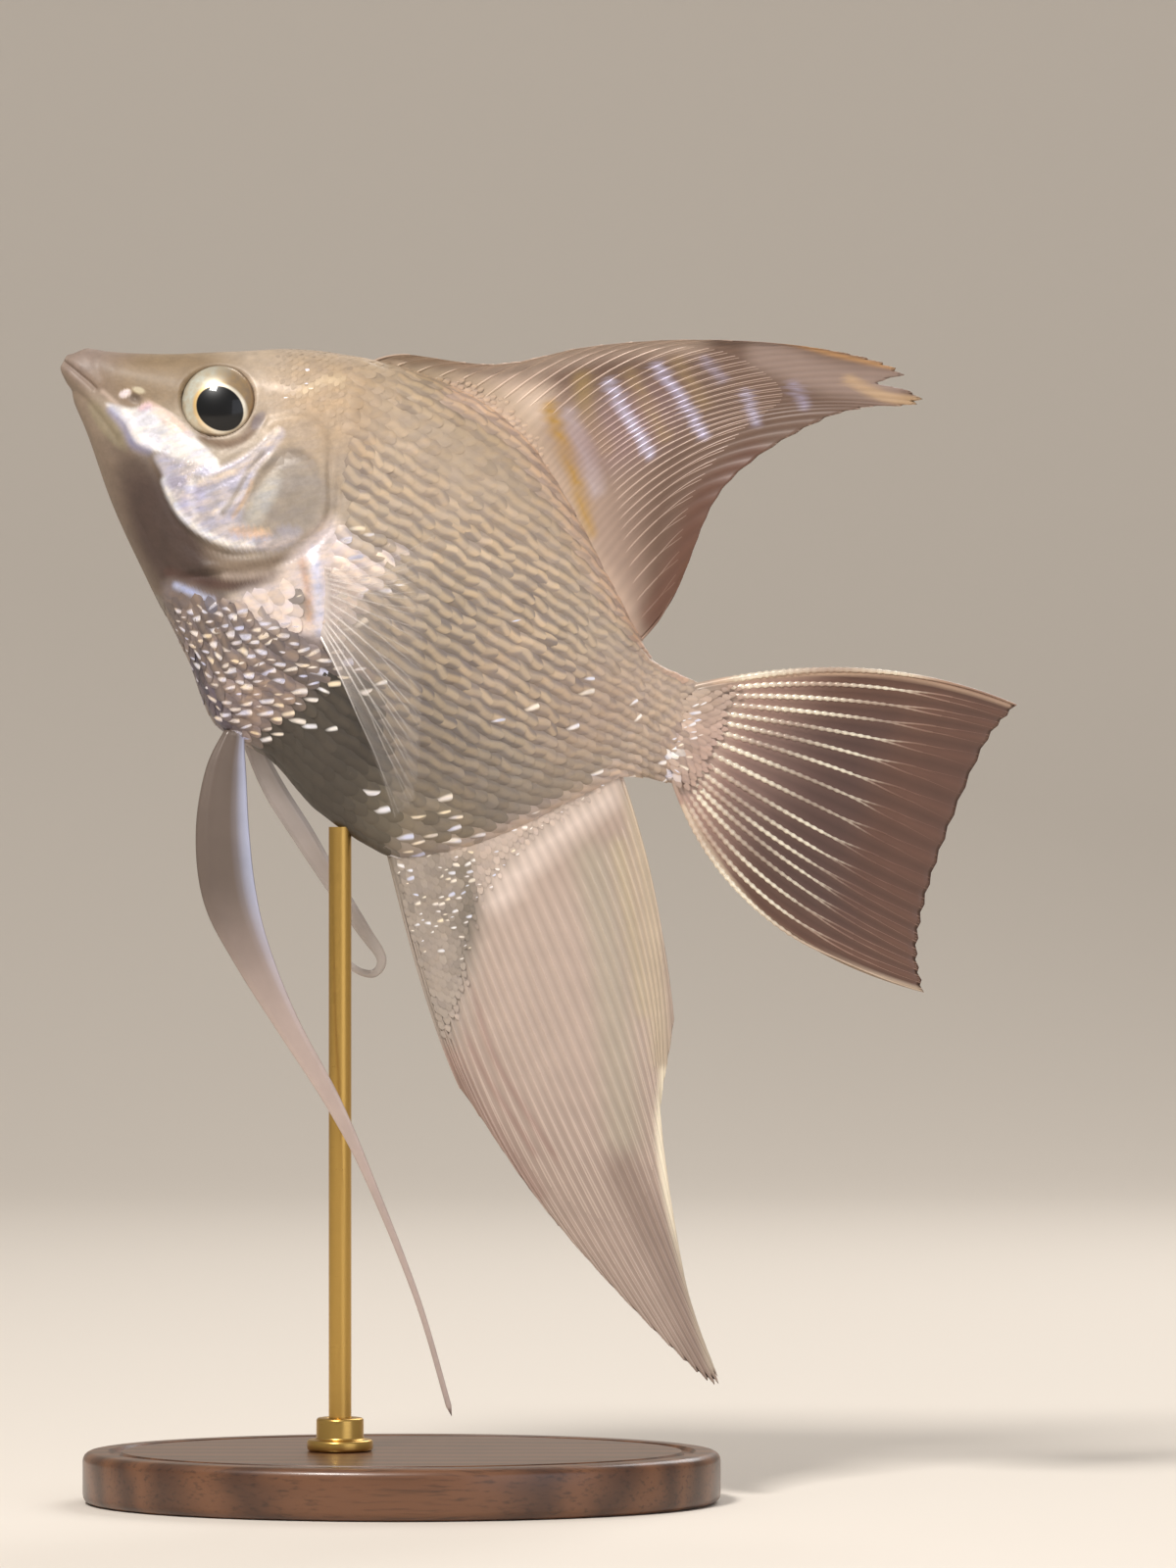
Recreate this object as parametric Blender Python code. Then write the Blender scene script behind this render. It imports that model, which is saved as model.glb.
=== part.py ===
"""Freshwater angelfish (Pterophyllum scalare) as a life-size display model on a stand.

Row frame: metres, +Z up, origin at the centre of the stand's underside. The fish faces
-X and shows its left side to -Y.

The fish is drawn in its own side view, in millimetres: a point (a, b) lies a behind the
snout along the body's long axis and b above that axis, and y is the distance from the
body's middle plane. The whole fish is then pitched nose-up about its snout.
"""

import math

import bmesh
import bpy
import numpy as np
from mathutils import Matrix, Vector

MM = 0.001
GAP = 0.3

# Pose
PITCH = math.radians(30.2)
SNOUT_X = -32.8
SNOUT_Z = 110.2

# Body: smooth profiles over a, each a list of (a, value)
BODY_START = -0.6
BODY_END = 72.0
BACK = ((-0.6, 0.9), (0.0, 1.7), (1.0, 2.9), (2.6, 3.5), (7.1, 5.8), (13.6, 9.8), (17.5, 12.4),
        (22.3, 14.8), (28.9, 17.0), (35.8, 17.8), (41.2, 17.2), (46.9, 14.8), (57.1, 8.6),
        (61.9, 5.7), (65.5, 4.5), (72.0, 4.9))
BELLY = ((-0.6, 0.3), (0.0, -0.5), (1.6, -1.6), (4.4, -3.8), (10.9, -9.3), (17.2, -13.7),
         (24.4, -18.5), (31.1, -23.0), (35.5, -23.0), (42.8, -25.1), (48.3, -25.6),
         (51.5, -25.4), (55.5, -22.8), (60.0, -18.0), (64.3, -11.6), (67.7, -6.9), (72.0, -5.4))
KEEL = ((-0.6, 0.6), (10.0, 1.6), (20.0, 1.2), (35.0, -0.5), (72.0, -0.2))
HALF_WIDTH = ((-0.6, 0.5), (0.0, 1.5), (1.0, 2.2), (3.0, 2.8), (7.0, 3.8), (11.0, 4.7), (15.0, 5.4),
              (20.0, 6.1), (27.0, 6.6), (33.0, 6.6), (42.0, 5.8), (52.0, 4.3), (60.0, 3.1),
              (66.0, 2.2), (72.0, 1.2))
# Side-to-side fullness: 1 is an ellipse, more draws the section out to a keel
FULLNESS = ((-0.6, 0.9), (6.0, 0.82), (20.0, 0.85), (34.0, 1.0), (72.0, 1.1))
BODY_STATIONS = 34
# Stations crowd towards the snout: each one's share of the length is raised to this power
STATION_CROWDING = 1.35
RING_POINTS = 24

# Parting lines in side view, from the back to the belly
GILL_LINE = ((22.6, 18.5), (24.0, 14.0), (26.0, 9.0), (28.0, 5.2), (29.9, 1.8), (30.3, -1.2),
             (28.9, -4.4), (25.8, -7.7), (22.3, -10.2), (19.6, -12.4), (17.4, -15.5))
STALK_LINE = ((63.6, 7.5), (64.4, 3.5), (65.0, -2.0), (66.6, -9.5))
TAIL_LINE = ((68.4, 7.0), (68.9, 3.0), (69.7, 0.0), (70.5, -2.6), (71.6, -7.5))
PARTING_POINTS = 20
PAST_FISH = 40.0

# Mouth, each jaw's outline clockwise in side view
UPPER_JAW = ((-3.0, 0.75), (-3.0, 5.5), (2.8, 5.5), (3.1, 2.2), (3.9, 0.9), (3.9, -0.2),
             (2.0, 0.35), (0.0, 0.65))
LOWER_JAW = ((-3.0, 0.45), (0.0, 0.35), (2.0, 0.05), (4.1, -0.55), (5.6, -1.8), (6.9, -3.6),
             (7.6, -9.0), (-3.0, -9.0))

# Gill cover: its outline, how far it stands off the head, and how thick it is
GILL_COVER = ((19.6, 4.9), (22.4, 7.6), (25.3, 7.3), (27.3, 4.5), (29.0, 1.4), (29.3, -1.1),
              (27.4, -3.9), (24.0, -6.3), (20.0, -7.7), (16.7, -6.9), (16.0, -4.2), (17.8, 0.0))
GILL_COVER_POINTS = 26
GILL_COVER_PROUD = 0.25
GILL_COVER_DEPTH = 1.2
CHEEK_SPAN = (8.0, 40.0)

# Eye
EYE_AT = (14.9, 4.6)
EYE_RADIUS = 3.7
EYE_HALF_DEPTH = 2.2
EYE_CENTRE_Y = 3.95
EYE_SIDES = 18
EYE_RINGS = 9
EYE_TURN_FORWARD = math.radians(12.0)
EYE_TURN_UP = math.radians(9.0)

# Fins: each ray is (root, middle, tip) in side view, front ray first
DORSAL_RAYS = (((25.0, 14.6), (26.4, 16.6), (28.4, 18.0)),
               ((31.5, 15.6), (33.4, 19.2), (36.5, 21.6)),
               ((36.8, 15.9), (39.4, 22.5), (43.0, 27.4)),
               ((40.8, 15.4), (44.7, 26.4), (51.0, 32.8)),
               ((44.0, 14.3), (49.6, 29.0), (61.2, 38.0)),
               ((46.6, 13.0), (53.6, 28.6), (69.6, 40.6)),
               ((49.2, 11.7), (56.0, 27.4), (73.6, 38.9)),
               ((52.0, 9.9), (56.6, 23.6), (66.8, 33.4)),
               ((55.8, 7.8), (57.8, 17.2), (61.4, 22.8)),
               ((61.4, 4.2), (62.3, 8.6), (62.2, 12.2)))
ANAL_RAYS = (((50.0, -23.9), (60.6, -34.6), (68.5, -41.2)),
             ((52.2, -23.2), (68.0, -38.9), (83.5, -47.9)),
             ((54.4, -21.6), (76.5, -39.6), (98.6, -52.6)),
             ((57.2, -18.6), (79.5, -36.0), (104.7, -53.4)),
             ((60.4, -14.8), (80.5, -30.0), (98.4, -48.2)),
             ((63.4, -10.6), (77.8, -22.0), (88.4, -37.0)),
             ((66.2, -6.6), (75.2, -15.2), (83.1, -24.9)))
TAIL_RAYS = (((69.2, 4.6), (82.3, 13.9), (96.5, 18.3)),
             ((69.5, 2.7), (83.0, 8.8), (95.8, 13.6)),
             ((70.0, 0.4), (83.4, 3.2), (96.8, 5.0)),
             ((70.8, -2.1), (84.2, -3.0), (98.3, -2.2)),
             ((71.4, -3.8), (84.2, -7.0), (100.2, -7.2)),
             ((71.9, -5.2), (85.6, -11.7), (102.8, -10.4)))
PECTORAL_RAYS = (((31.2, -4.2), (35.4, -2.0), (39.8, 4.0)),
                 ((32.0, -6.0), (38.6, -4.9), (43.0, -3.8)),
                 ((33.0, -7.6), (41.2, -10.0), (47.6, -12.2)),
                 ((34.0, -8.9), (42.6, -13.8), (50.6, -18.8)),
                 ((34.9, -10.0), (42.4, -15.2), (50.0, -21.6)))
# Middle fins: (name, rays, grid points across and along the rays, sway at the tips)
MIDDLE_FINS = (("fin_dorsal", DORSAL_RAYS, 26, 8, -1.2), ("fin_anal", ANAL_RAYS, 22, 9, 1.2),
               ("fin_tail", TAIL_RAYS, 16, 8, 1.0))
# Pectoral fins: grid points, the flank spot they grow from, how deep their root sits in
# it, how far the tips stand off the flank, and how much of that the curve takes back
PECTORAL_GRID = (11, 7)
PECTORAL_AT = (33.0, -7.0)
PECTORAL_SUNK = 0.9
PECTORAL_SPLAY = 7.5
PECTORAL_CURVE = 0.3
FIN_ROOT_HALF = 0.75
FIN_EDGE_HALF = 0.27

# Pelvic fins: (a, b, distance from the middle plane, half-width) from root to streamer end
PELVIC_NEAR = ((32.0, -21.9, 1.1, 0.9), (33.4, -26.0, 1.9, 2.0), (36.1, -31.2, 2.9, 2.6),
               (39.8, -36.1, 3.8, 2.6), (44.5, -39.9, 4.6, 1.9), (50.8, -43.9, 5.4, 1.2),
               (58.5, -48.2, 6.2, 0.8), (65.0, -52.6, 6.8, 0.45), (75.0, -60.4, 7.6, 0.3),
               (83.6, -68.5, 8.2, 0.27))
PELVIC_FAR = ((33.0, -21.6, 1.1, 0.8), (37.9, -25.0, 2.4, 1.1), (42.8, -27.6, 3.4, 1.1),
              (47.6, -30.2, 4.2, 0.9), (52.3, -32.6, 4.9, 0.7), (55.4, -34.2, 5.4, 0.5),
              (55.5, -35.9, 5.5, 0.4), (53.6, -36.4, 5.4, 0.35), (51.4, -35.6, 5.3, 0.3))
# (side, name, route, rings along it)
PELVIC_FINS = ((-1, "fin_pelvic_left", PELVIC_NEAR, 30), (1, "fin_pelvic_right", PELVIC_FAR, 24))
BLADE_SIDES = 8
PELVIC_HALF_THICKNESS = 0.4
PELVIC_EDGE_HALF = 0.27

# Stand
BASE_RADIUS_X = 31.0
BASE_RADIUS_Y = 22.0
BASE_HEIGHT = 5.0
BASE_EDGE = 1.2
ROD_X = -6.0
ROD_RADIUS = 1.1
ROD_INTO_BODY = 3.0
COLLAR_RADIUS = 3.2
COLLAR_HEIGHT = 3.0
COLLAR_EDGE = 0.5
BORE_PAST_COLLAR = 1.0
ROUND_SIDES = 16
FOOT_SIDES = 48
BEVEL_SEGMENTS = 2
BEVEL_ANGLE = math.radians(50)
HALVINGS = 40

# Edges sharper than this are shaded as creases
CREASE_ANGLE = math.radians(40)

COLOURS = {
    "pearl_skin": ((0.52, 0.43, 0.32), 0.35, 0.15),
    "cheek_silver": ((0.70, 0.68, 0.64), 0.25, 0.35),
    "eye": ((0.05, 0.05, 0.05), 0.08, 0.0),
    "fin": ((0.50, 0.36, 0.28), 0.4, 0.0),
    "walnut": ((0.12, 0.06, 0.03), 0.45, 0.0),
    "brass": ((0.72, 0.52, 0.22), 0.3, 1.0),
}


def clear_scene():
    """Remove whatever the open file holds."""
    for obj in list(bpy.data.objects):
        bpy.data.objects.remove(obj, do_unlink=True)


def material(name):
    """Return the named Principled material, made on first use."""
    found = bpy.data.materials.get(name)
    if found:
        return found
    colour, roughness, metallic = COLOURS[name]
    made = bpy.data.materials.new(name)
    made.use_nodes = True
    shader = made.node_tree.nodes["Principled BSDF"]
    shader.inputs["Base Color"].default_value = (*colour, 1.0)
    shader.inputs["Roughness"].default_value = roughness
    shader.inputs["Metallic"].default_value = metallic
    return made


def profile(knots):
    """Return a smooth function through (x, value) knots that never overshoots them."""
    xs = np.array([knot[0] for knot in knots])
    ys = np.array([knot[1] for knot in knots])
    run = np.diff(xs)
    rise = np.diff(ys) / run
    slope = np.zeros(len(xs))
    slope[0] = rise[0]
    slope[-1] = rise[-1]
    for i in range(1, len(xs) - 1):
        if rise[i - 1] * rise[i] > 0:
            before = 2 * run[i] + run[i - 1]
            after = run[i] + 2 * run[i - 1]
            slope[i] = (before + after) / (before / rise[i - 1] + after / rise[i])

    def value(x):
        i = int(np.clip(np.searchsorted(xs, x) - 1, 0, len(run) - 1))
        t = min(max((x - xs[i]) / run[i], 0.0), 1.0)
        ease = t * t * (3 - 2 * t)
        lead = t * (1 - t) ** 2 * slope[i] * run[i]
        lag = -t * t * (1 - t) * slope[i + 1] * run[i]
        return ys[i] * (1 - ease) + ys[i + 1] * ease + lead + lag

    return value


back = profile(BACK)
belly = profile(BELLY)
keel = profile(KEEL)
half_width = profile(HALF_WIDTH)
fullness = profile(FULLNESS)


def through(points, count, closed=False):
    """Return count points of a Catmull-Rom curve through the given ones."""
    pts = [np.array(point, dtype=float) for point in points]
    spans = len(pts) if closed else len(pts) - 1
    if not closed:
        pts = [2 * pts[0] - pts[1]] + pts + [2 * pts[-1] - pts[-2]]
    curve = []
    for step in range(count):
        place = step * spans / (count if closed else count - 1)
        i = min(int(place), spans - 1)
        t = place - i
        p0, p1, p2, p3 = (pts[(i + k - (1 if closed else 0)) % len(pts)] for k in range(4))
        curve.append(0.5 * (2 * p1 + (p2 - p0) * t + (2 * p0 - 5 * p1 + 4 * p2 - p3) * t * t
                            + (3 * p1 - p0 - 3 * p2 + p3) * t ** 3))
    return curve


def surface_y(a, b):
    """Half-width of the body at a point of its side view."""
    reach = back(a) - keel(a) if b > keel(a) else keel(a) - belly(a)
    rise = min(abs(b - keel(a)) / reach, 1.0)
    return half_width(a) * (1 - rise * rise) ** (0.5 * fullness(a))


def to_row(a, y, b):
    """Turn a fish point in millimetres into row coordinates in metres."""
    along = Vector((math.cos(PITCH), 0.0, -math.sin(PITCH))) * a
    up = Vector((math.sin(PITCH), 0.0, math.cos(PITCH))) * b
    return (Vector((SNOUT_X, y, SNOUT_Z)) + along + up) * MM


def add_object(name, mesh_builder, colour):
    """Make an object from a filled bmesh, shaded smooth, with its own material."""
    mesh = bpy.data.meshes.new(name)
    bmesh.ops.recalc_face_normals(mesh_builder, faces=mesh_builder.faces)
    mesh_builder.to_mesh(mesh)
    mesh_builder.free()
    mesh.shade_smooth()
    mesh.set_sharp_from_angle(angle=CREASE_ANGLE)
    obj = bpy.data.objects.new(name, mesh)
    bpy.context.collection.objects.link(obj)
    if colour:
        obj.data.materials.append(material(colour))
    return obj


def add_cutter(name, mesh_builder):
    """Make a hidden wire object that only shapes others."""
    obj = add_object(name, mesh_builder, None)
    obj.hide_render = True
    obj.display_type = 'WIRE'
    return obj


def boolean(obj, cutter, operation):
    """Cut, join or intersect an object with a cutter."""
    modifier = obj.modifiers.new(operation.lower(), 'BOOLEAN')
    modifier.object = cutter
    modifier.operation = operation
    modifier.solver = 'EXACT'


def loft(rings):
    """Return a bmesh skinned over closed rings of equal length, capped at both ends."""
    builder = bmesh.new()
    rows = [[builder.verts.new(point) for point in ring] for ring in rings]
    for first, second in zip(rows, rows[1:]):
        for i in range(len(first)):
            j = (i + 1) % len(first)
            builder.faces.new((first[i], first[j], second[j], second[i]))
    builder.faces.new(rows[0])
    builder.faces.new(rows[-1])
    return builder


def body_ring(a, grow):
    """One cross-section of the body at a, grown outwards by grow millimetres."""
    top = back(a) + grow
    bottom = belly(a) - grow
    middle = keel(a)
    wide = half_width(a) + grow
    ring = []
    for i in range(RING_POINTS):
        angle = math.tau * (i + 0.5) / RING_POINTS
        rise = math.sin(angle)
        side = math.copysign(abs(math.cos(angle)) ** fullness(a), math.cos(angle))
        reach = top - middle if rise > 0 else middle - bottom
        ring.append(to_row(a, wide * side, middle + reach * rise))
    return ring


def body_solid(grow=0.0, start=BODY_START, end=BODY_END):
    """The body from start to end as one closed loft, grown outwards by grow millimetres."""
    shares = [(i / (BODY_STATIONS - 1)) ** STATION_CROWDING for i in range(BODY_STATIONS)]
    stations = [start + (end - start) * share for share in shares]
    if grow > 0:
        stations.insert(0, start - grow)
    return loft([body_ring(a, grow) for a in stations])


def prism(outline, low_y, high_y):
    """A side-view outline carried straight through from low_y to high_y."""
    near = [to_row(a, low_y, b) for a, b in outline]
    far = [to_row(a, high_y, b) for a, b in outline]
    return loft([near, far])


def offset(points, distance, closed=False):
    """Move a side-view line sideways, to the left of its direction, with true corners."""
    last = len(points) - 1
    normals = []
    for i in range(len(points) if closed else last):
        run = np.array(points[(i + 1) % len(points)]) - np.array(points[i])
        normals.append(np.array((-run[1], run[0])) / np.linalg.norm(run))
    moved = []
    for i, point in enumerate(points):
        before = normals[i - 1] if closed or i > 0 else normals[0]
        after = normals[i] if closed or i < last else normals[-1]
        moved.append(np.array(point) + (before + after) * distance / (1 + before.dot(after)))
    return moved


def parting(line, distance):
    """A parting line moved aside and carried on well past the back and the belly."""
    moved = offset(through(line, PARTING_POINTS), distance)
    return [(moved[0][0], PAST_FISH)] + moved + [(moved[-1][0], -PAST_FISH)]


def region(line_ahead, line_behind):
    """Outline between two parting lines, each kept half a gap clear."""
    ahead = [(-PAST_FISH, PAST_FISH), (-PAST_FISH, -PAST_FISH)]
    if line_ahead:
        ahead = parting(line_ahead, GAP / 2)
    return ahead[::-1] + parting(line_behind, -GAP / 2)


def body_piece(name, outline, colour, grow=0.0):
    """The part of the body inside a side-view outline."""
    piece = add_object(name, body_solid(grow), colour)
    shaper = add_cutter(name + "_shaper", prism(outline, -PAST_FISH, PAST_FISH))
    boolean(piece, shaper, 'INTERSECT')
    return piece


def build_trunk():
    """Trunk and tail stalk, parted behind the last fin rays."""
    body_piece("trunk", region(GILL_LINE, STALK_LINE), "pearl_skin")
    body_piece("tail_stalk", region(STALK_LINE, TAIL_LINE), "pearl_skin")


def eye_matrix(side):
    """Where an eye sits: side is -1 for the left eye and 1 for the right."""
    turn = Matrix.Rotation(side * EYE_TURN_FORWARD, 4, 'Z')
    tilt = Matrix.Rotation(side * EYE_TURN_UP, 4, 'X')
    place = Matrix.Translation(to_row(EYE_AT[0], side * EYE_CENTRE_Y, EYE_AT[1]))
    return place @ Matrix.Rotation(PITCH, 4, 'Y') @ turn @ tilt


def eye_solid(side, grow):
    """A flattened ball for an eye, or its socket when grown."""
    builder = bmesh.new()
    wide = (EYE_RADIUS + grow) * MM
    deep = (EYE_HALF_DEPTH + grow) * MM
    bmesh.ops.create_uvsphere(builder, u_segments=EYE_SIDES, v_segments=EYE_RINGS, radius=1.0)
    poles_sideways = Matrix.Rotation(math.pi / 2, 4, 'X')
    shape = Matrix.Diagonal((wide, deep, wide, 1.0)) @ poles_sideways
    bmesh.ops.transform(builder, matrix=eye_matrix(side) @ shape, verts=builder.verts)
    return builder


def gill_cover(side):
    """Plate over one side's gills, standing a little proud of the head."""
    name = "gill_cover_left" if side < 0 else "gill_cover_right"
    outline = through(GILL_COVER, GILL_COVER_POINTS, closed=True)
    inner, outer = sorted((side * GAP, side * PAST_FISH))
    plate = add_object(name, prism(outline, inner, outer), "cheek_silver")
    boolean(plate, bpy.data.objects["gill_cover_outside"], 'INTERSECT')
    boolean(plate, bpy.data.objects["gill_cover_inside"], 'DIFFERENCE')
    pocket = add_cutter(name + "_pocket", prism(offset(outline, GAP, True), inner, outer))
    boolean(pocket, bpy.data.objects["gill_pocket_floor"], 'DIFFERENCE')
    return pocket


def build_head():
    """Head with its eyes, jaws and gill covers."""
    head = body_piece("head", region(None, GILL_LINE), "pearl_skin")
    for name, outline in (("jaw_upper", UPPER_JAW), ("jaw_lower", LOWER_JAW)):
        body_piece(name, outline, "pearl_skin")
        room = add_cutter(name + "_room", prism(offset(outline, GAP, True), -PAST_FISH, PAST_FISH))
        boolean(head, room, 'DIFFERENCE')
    add_cutter("gill_cover_outside", body_solid(GILL_COVER_PROUD))
    add_cutter("gill_cover_inside", body_solid(-GILL_COVER_DEPTH, *CHEEK_SPAN))
    add_cutter("gill_pocket_floor", body_solid(-GILL_COVER_DEPTH - GAP, *CHEEK_SPAN))
    for side in (-1, 1):
        add_object("eye_left" if side < 0 else "eye_right", eye_solid(side, 0.0), "eye")
        boolean(head, add_cutter("eye_socket", eye_solid(side, GAP)), 'DIFFERENCE')
        boolean(head, gill_cover(side), 'DIFFERENCE')


def fan(rays, columns, rows, depth):
    """Closed fin plate over (root, middle, tip) rays.

    depth(v) gives the plate's centre y and its half-thickness at a share v of the way
    from root to tip.
    """
    roots, middles, tips = (through([ray[k] for ray in rays], columns) for k in range(3))
    sheets = ([], [])
    for i in range(columns):
        for j in range(rows):
            v = j / (rows - 1)
            spot = (roots[i] * (1 - v) * (1 - 2 * v) + middles[i] * 4 * v * (1 - v)
                    + tips[i] * v * (2 * v - 1))
            centre, half = depth(v)
            sheets[0].append(to_row(spot[0], centre - half, spot[1]))
            sheets[1].append(to_row(spot[0], centre + half, spot[1]))
    builder = bmesh.new()
    near, far = ([builder.verts.new(point) for point in sheet] for sheet in sheets)
    for i in range(columns - 1):
        for j in range(rows - 1):
            k = i * rows + j
            builder.faces.new((near[k], near[k + 1], near[k + rows + 1], near[k + rows]))
            builder.faces.new((far[k], far[k + rows], far[k + rows + 1], far[k + 1]))
    last = (columns - 1) * rows
    rim = [i * rows for i in range(columns)] + [last + j for j in range(1, rows)]
    rim += [i * rows + rows - 1 for i in range(columns - 2, -1, -1)]
    rim += list(range(rows - 2, 0, -1))
    for k, m in zip(rim, rim[1:] + rim[:1]):
        builder.faces.new((near[k], near[m], far[m], far[k]))
    return builder


def plate_half(v):
    """Half-thickness of a fin from its fleshy root to its edge."""
    return FIN_EDGE_HALF + (FIN_ROOT_HALF - FIN_EDGE_HALF) * (1 - v) ** 2


def build_middle_fins():
    """Back, belly and tail fins, with a slight sway out of the middle plane."""
    for name, rays, columns, rows, sway in MIDDLE_FINS:
        def depth(v, sway=sway):
            return sway * v * v, plate_half(v)
        fin = add_object(name, fan(rays, columns, rows, depth), "fin")
        if name != "fin_tail":
            boolean(fin, bpy.data.objects["body_clearance"], 'DIFFERENCE')


def build_pectoral_fins():
    """Fins behind the gill covers, spread back and away from the flanks."""
    for side, name in ((-1, "fin_pectoral_left"), (1, "fin_pectoral_right")):
        def depth(v, side=side):
            root = surface_y(*PECTORAL_AT) - PECTORAL_SUNK
            bow = v * (1 + PECTORAL_CURVE * (1 - v))
            return side * (root + PECTORAL_SPLAY * bow), plate_half(v)
        fin = add_object(name, fan(PECTORAL_RAYS, *PECTORAL_GRID, depth), "fin")
        boolean(fin, bpy.data.objects["body_clearance"], 'DIFFERENCE')


def blade(route, count, side):
    """Flat blade along a route of (a, b, y, half-width), thin across y."""
    spots = through(route, count)
    corner = math.cos(math.pi / BLADE_SIDES)
    rings = []
    for i, spot in enumerate(spots):
        ahead = spots[min(i + 1, count - 1)][:2] - spots[max(i - 1, 0)][:2]
        ahead = ahead / np.linalg.norm(ahead)
        across = np.array((-ahead[1], ahead[0]))
        share = i / (count - 1)
        half = PELVIC_HALF_THICKNESS + (PELVIC_EDGE_HALF - PELVIC_HALF_THICKNESS) * share
        ring = []
        for k in range(BLADE_SIDES):
            angle = math.tau * (k + 0.5) / BLADE_SIDES
            place = spot[:2] + across * (spot[3] * math.cos(angle) / corner)
            lift = half * math.sin(angle) / corner
            ring.append(to_row(place[0], side * spot[2] + lift, place[1]))
        rings.append(ring)
    return loft(rings)


def build_pelvic_fins():
    """The two long feelers under the breast, the near one with its full streamer."""
    for side, name, route, count in PELVIC_FINS:
        fin = add_object(name, blade(route, count, side), "fin")
        boolean(fin, bpy.data.objects["body_clearance"], 'DIFFERENCE')


def bar(radius_x, radius_y, low, high, sides, at_x=0.0):
    """Upright round or oval bar, its axis at_x millimetres along the stand."""
    rings = []
    for z in (low, high):
        angles = [math.tau * i / sides for i in range(sides)]
        rings.append([Vector((at_x + radius_x * math.cos(t), radius_y * math.sin(t), z)) * MM
                      for t in angles])
    return loft(rings)


def round_bar(radius, low, high):
    """A length of round bar on the rod's axis."""
    return bar(radius, radius, low, high, ROUND_SIDES, ROD_X)


def bevel_edges(obj, width):
    """Round an object's sharp edges."""
    modifier = obj.modifiers.new("rounded", 'BEVEL')
    modifier.width = width * MM
    modifier.segments = BEVEL_SEGMENTS
    modifier.limit_method = 'ANGLE'
    modifier.angle_limit = BEVEL_ANGLE


def belly_height(x):
    """Height of the belly line above the floor, straight above x on the stand."""
    low, high = BODY_START, BODY_END
    for _ in range(HALVINGS):
        a = (low + high) / 2
        if to_row(a, 0.0, belly(a)).x / MM < x:
            low = a
        else:
            high = a
    return to_row(low, 0.0, belly(low)).z / MM


def build_stand():
    """Oval foot, collar, and one rod that meets the belly in a saddle."""
    foot = bar(BASE_RADIUS_X, BASE_RADIUS_Y, 0.0, BASE_HEIGHT, FOOT_SIDES)
    bevel_edges(add_object("stand_base", foot, "walnut"), BASE_EDGE)
    seat = BASE_HEIGHT + GAP
    top = seat + COLLAR_HEIGHT
    collar = add_object("stand_collar", round_bar(COLLAR_RADIUS, seat, top), "brass")
    bore = add_cutter("collar_bore", round_bar(ROD_RADIUS + GAP, 0.0, top + BORE_PAST_COLLAR))
    boolean(collar, bore, 'DIFFERENCE')
    bevel_edges(collar, COLLAR_EDGE)
    rod = round_bar(ROD_RADIUS, seat, belly_height(ROD_X) + ROD_INTO_BODY)
    rod = add_object("stand_rod", rod, "brass")
    boolean(rod, bpy.data.objects["body_clearance"], 'DIFFERENCE')


def main():
    """Build the angelfish and its stand."""
    clear_scene()
    add_cutter("body_clearance", body_solid(GAP))
    build_trunk()
    build_head()
    build_middle_fins()
    build_pectoral_fins()
    build_pelvic_fins()
    build_stand()


main()
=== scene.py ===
"""Life-size freshwater angelfish (Pterophyllum scalare) on a display stand, dressed for show.

The fish is drawn in its own side view, in millimetres: a point (a, b) lies a behind the
snout along the body's long axis and b above that axis, and y is the distance from the
body's middle plane, left side negative. The whole fish is then pitched nose-up about its
snout. Rows of the frame are metres, +Z up, origin at the centre of the stand's underside.
"""

import logging
import math
from dataclasses import dataclass, field, replace
from enum import Enum
from functools import partial
from typing import Any, Callable

import bpy
import numpy as np
from mathutils import Matrix, Vector


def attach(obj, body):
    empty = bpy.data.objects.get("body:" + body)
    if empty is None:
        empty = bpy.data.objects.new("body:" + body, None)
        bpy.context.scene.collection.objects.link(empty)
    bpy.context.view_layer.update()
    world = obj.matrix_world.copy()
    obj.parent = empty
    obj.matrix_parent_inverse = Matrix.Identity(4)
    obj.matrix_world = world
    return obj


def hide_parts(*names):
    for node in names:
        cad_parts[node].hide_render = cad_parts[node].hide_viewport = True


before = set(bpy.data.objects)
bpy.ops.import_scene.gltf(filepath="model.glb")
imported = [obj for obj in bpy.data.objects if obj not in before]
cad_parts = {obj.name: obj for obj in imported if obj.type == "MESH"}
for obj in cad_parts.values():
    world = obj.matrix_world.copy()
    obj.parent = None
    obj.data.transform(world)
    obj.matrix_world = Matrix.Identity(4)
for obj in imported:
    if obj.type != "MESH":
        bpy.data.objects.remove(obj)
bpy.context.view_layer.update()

LOG = logging.getLogger("angelfish")
MM = 0.001
PITCH = math.radians(30.2)
SNOUT_X = -32.8
SNOUT_Z = 110.2
MERGE = 1e-6
SEED = 7
STEP = 1e-3

Array = np.ndarray
Piece = bpy.types.Object
Finish = bpy.types.Material
Adder = Callable[..., bpy.types.Node]
Spots = tuple[tuple[float, ...], ...]
Sockets = dict[str, Any] | tuple[Any, ...]


class Side(Enum):
    """A side of the fish, by the sign of y."""

    LEFT = -1
    RIGHT = 1


# --- numbers and curves

def linear(code: str) -> Array:
    """Return a '#rrggbb' colour as linear RGB."""
    levels = np.array([int(code[i:i + 2], 16) / 255.0 for i in (1, 3, 5)])
    return np.where(levels <= 0.04045, levels / 12.92, ((levels + 0.055) / 1.055) ** 2.4)


def smooth(x: Array) -> Array:
    """Ease from 0 to 1 as x goes from 0 to 1."""
    x = np.clip(x, 0.0, 1.0)
    return x * x * (3.0 - 2.0 * x)


def mix(first: Array, second: Array, share: Array) -> Array:
    """Blend rows of first into second by share."""
    return first + (second - first) * np.asarray(share)[..., None]


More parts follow.
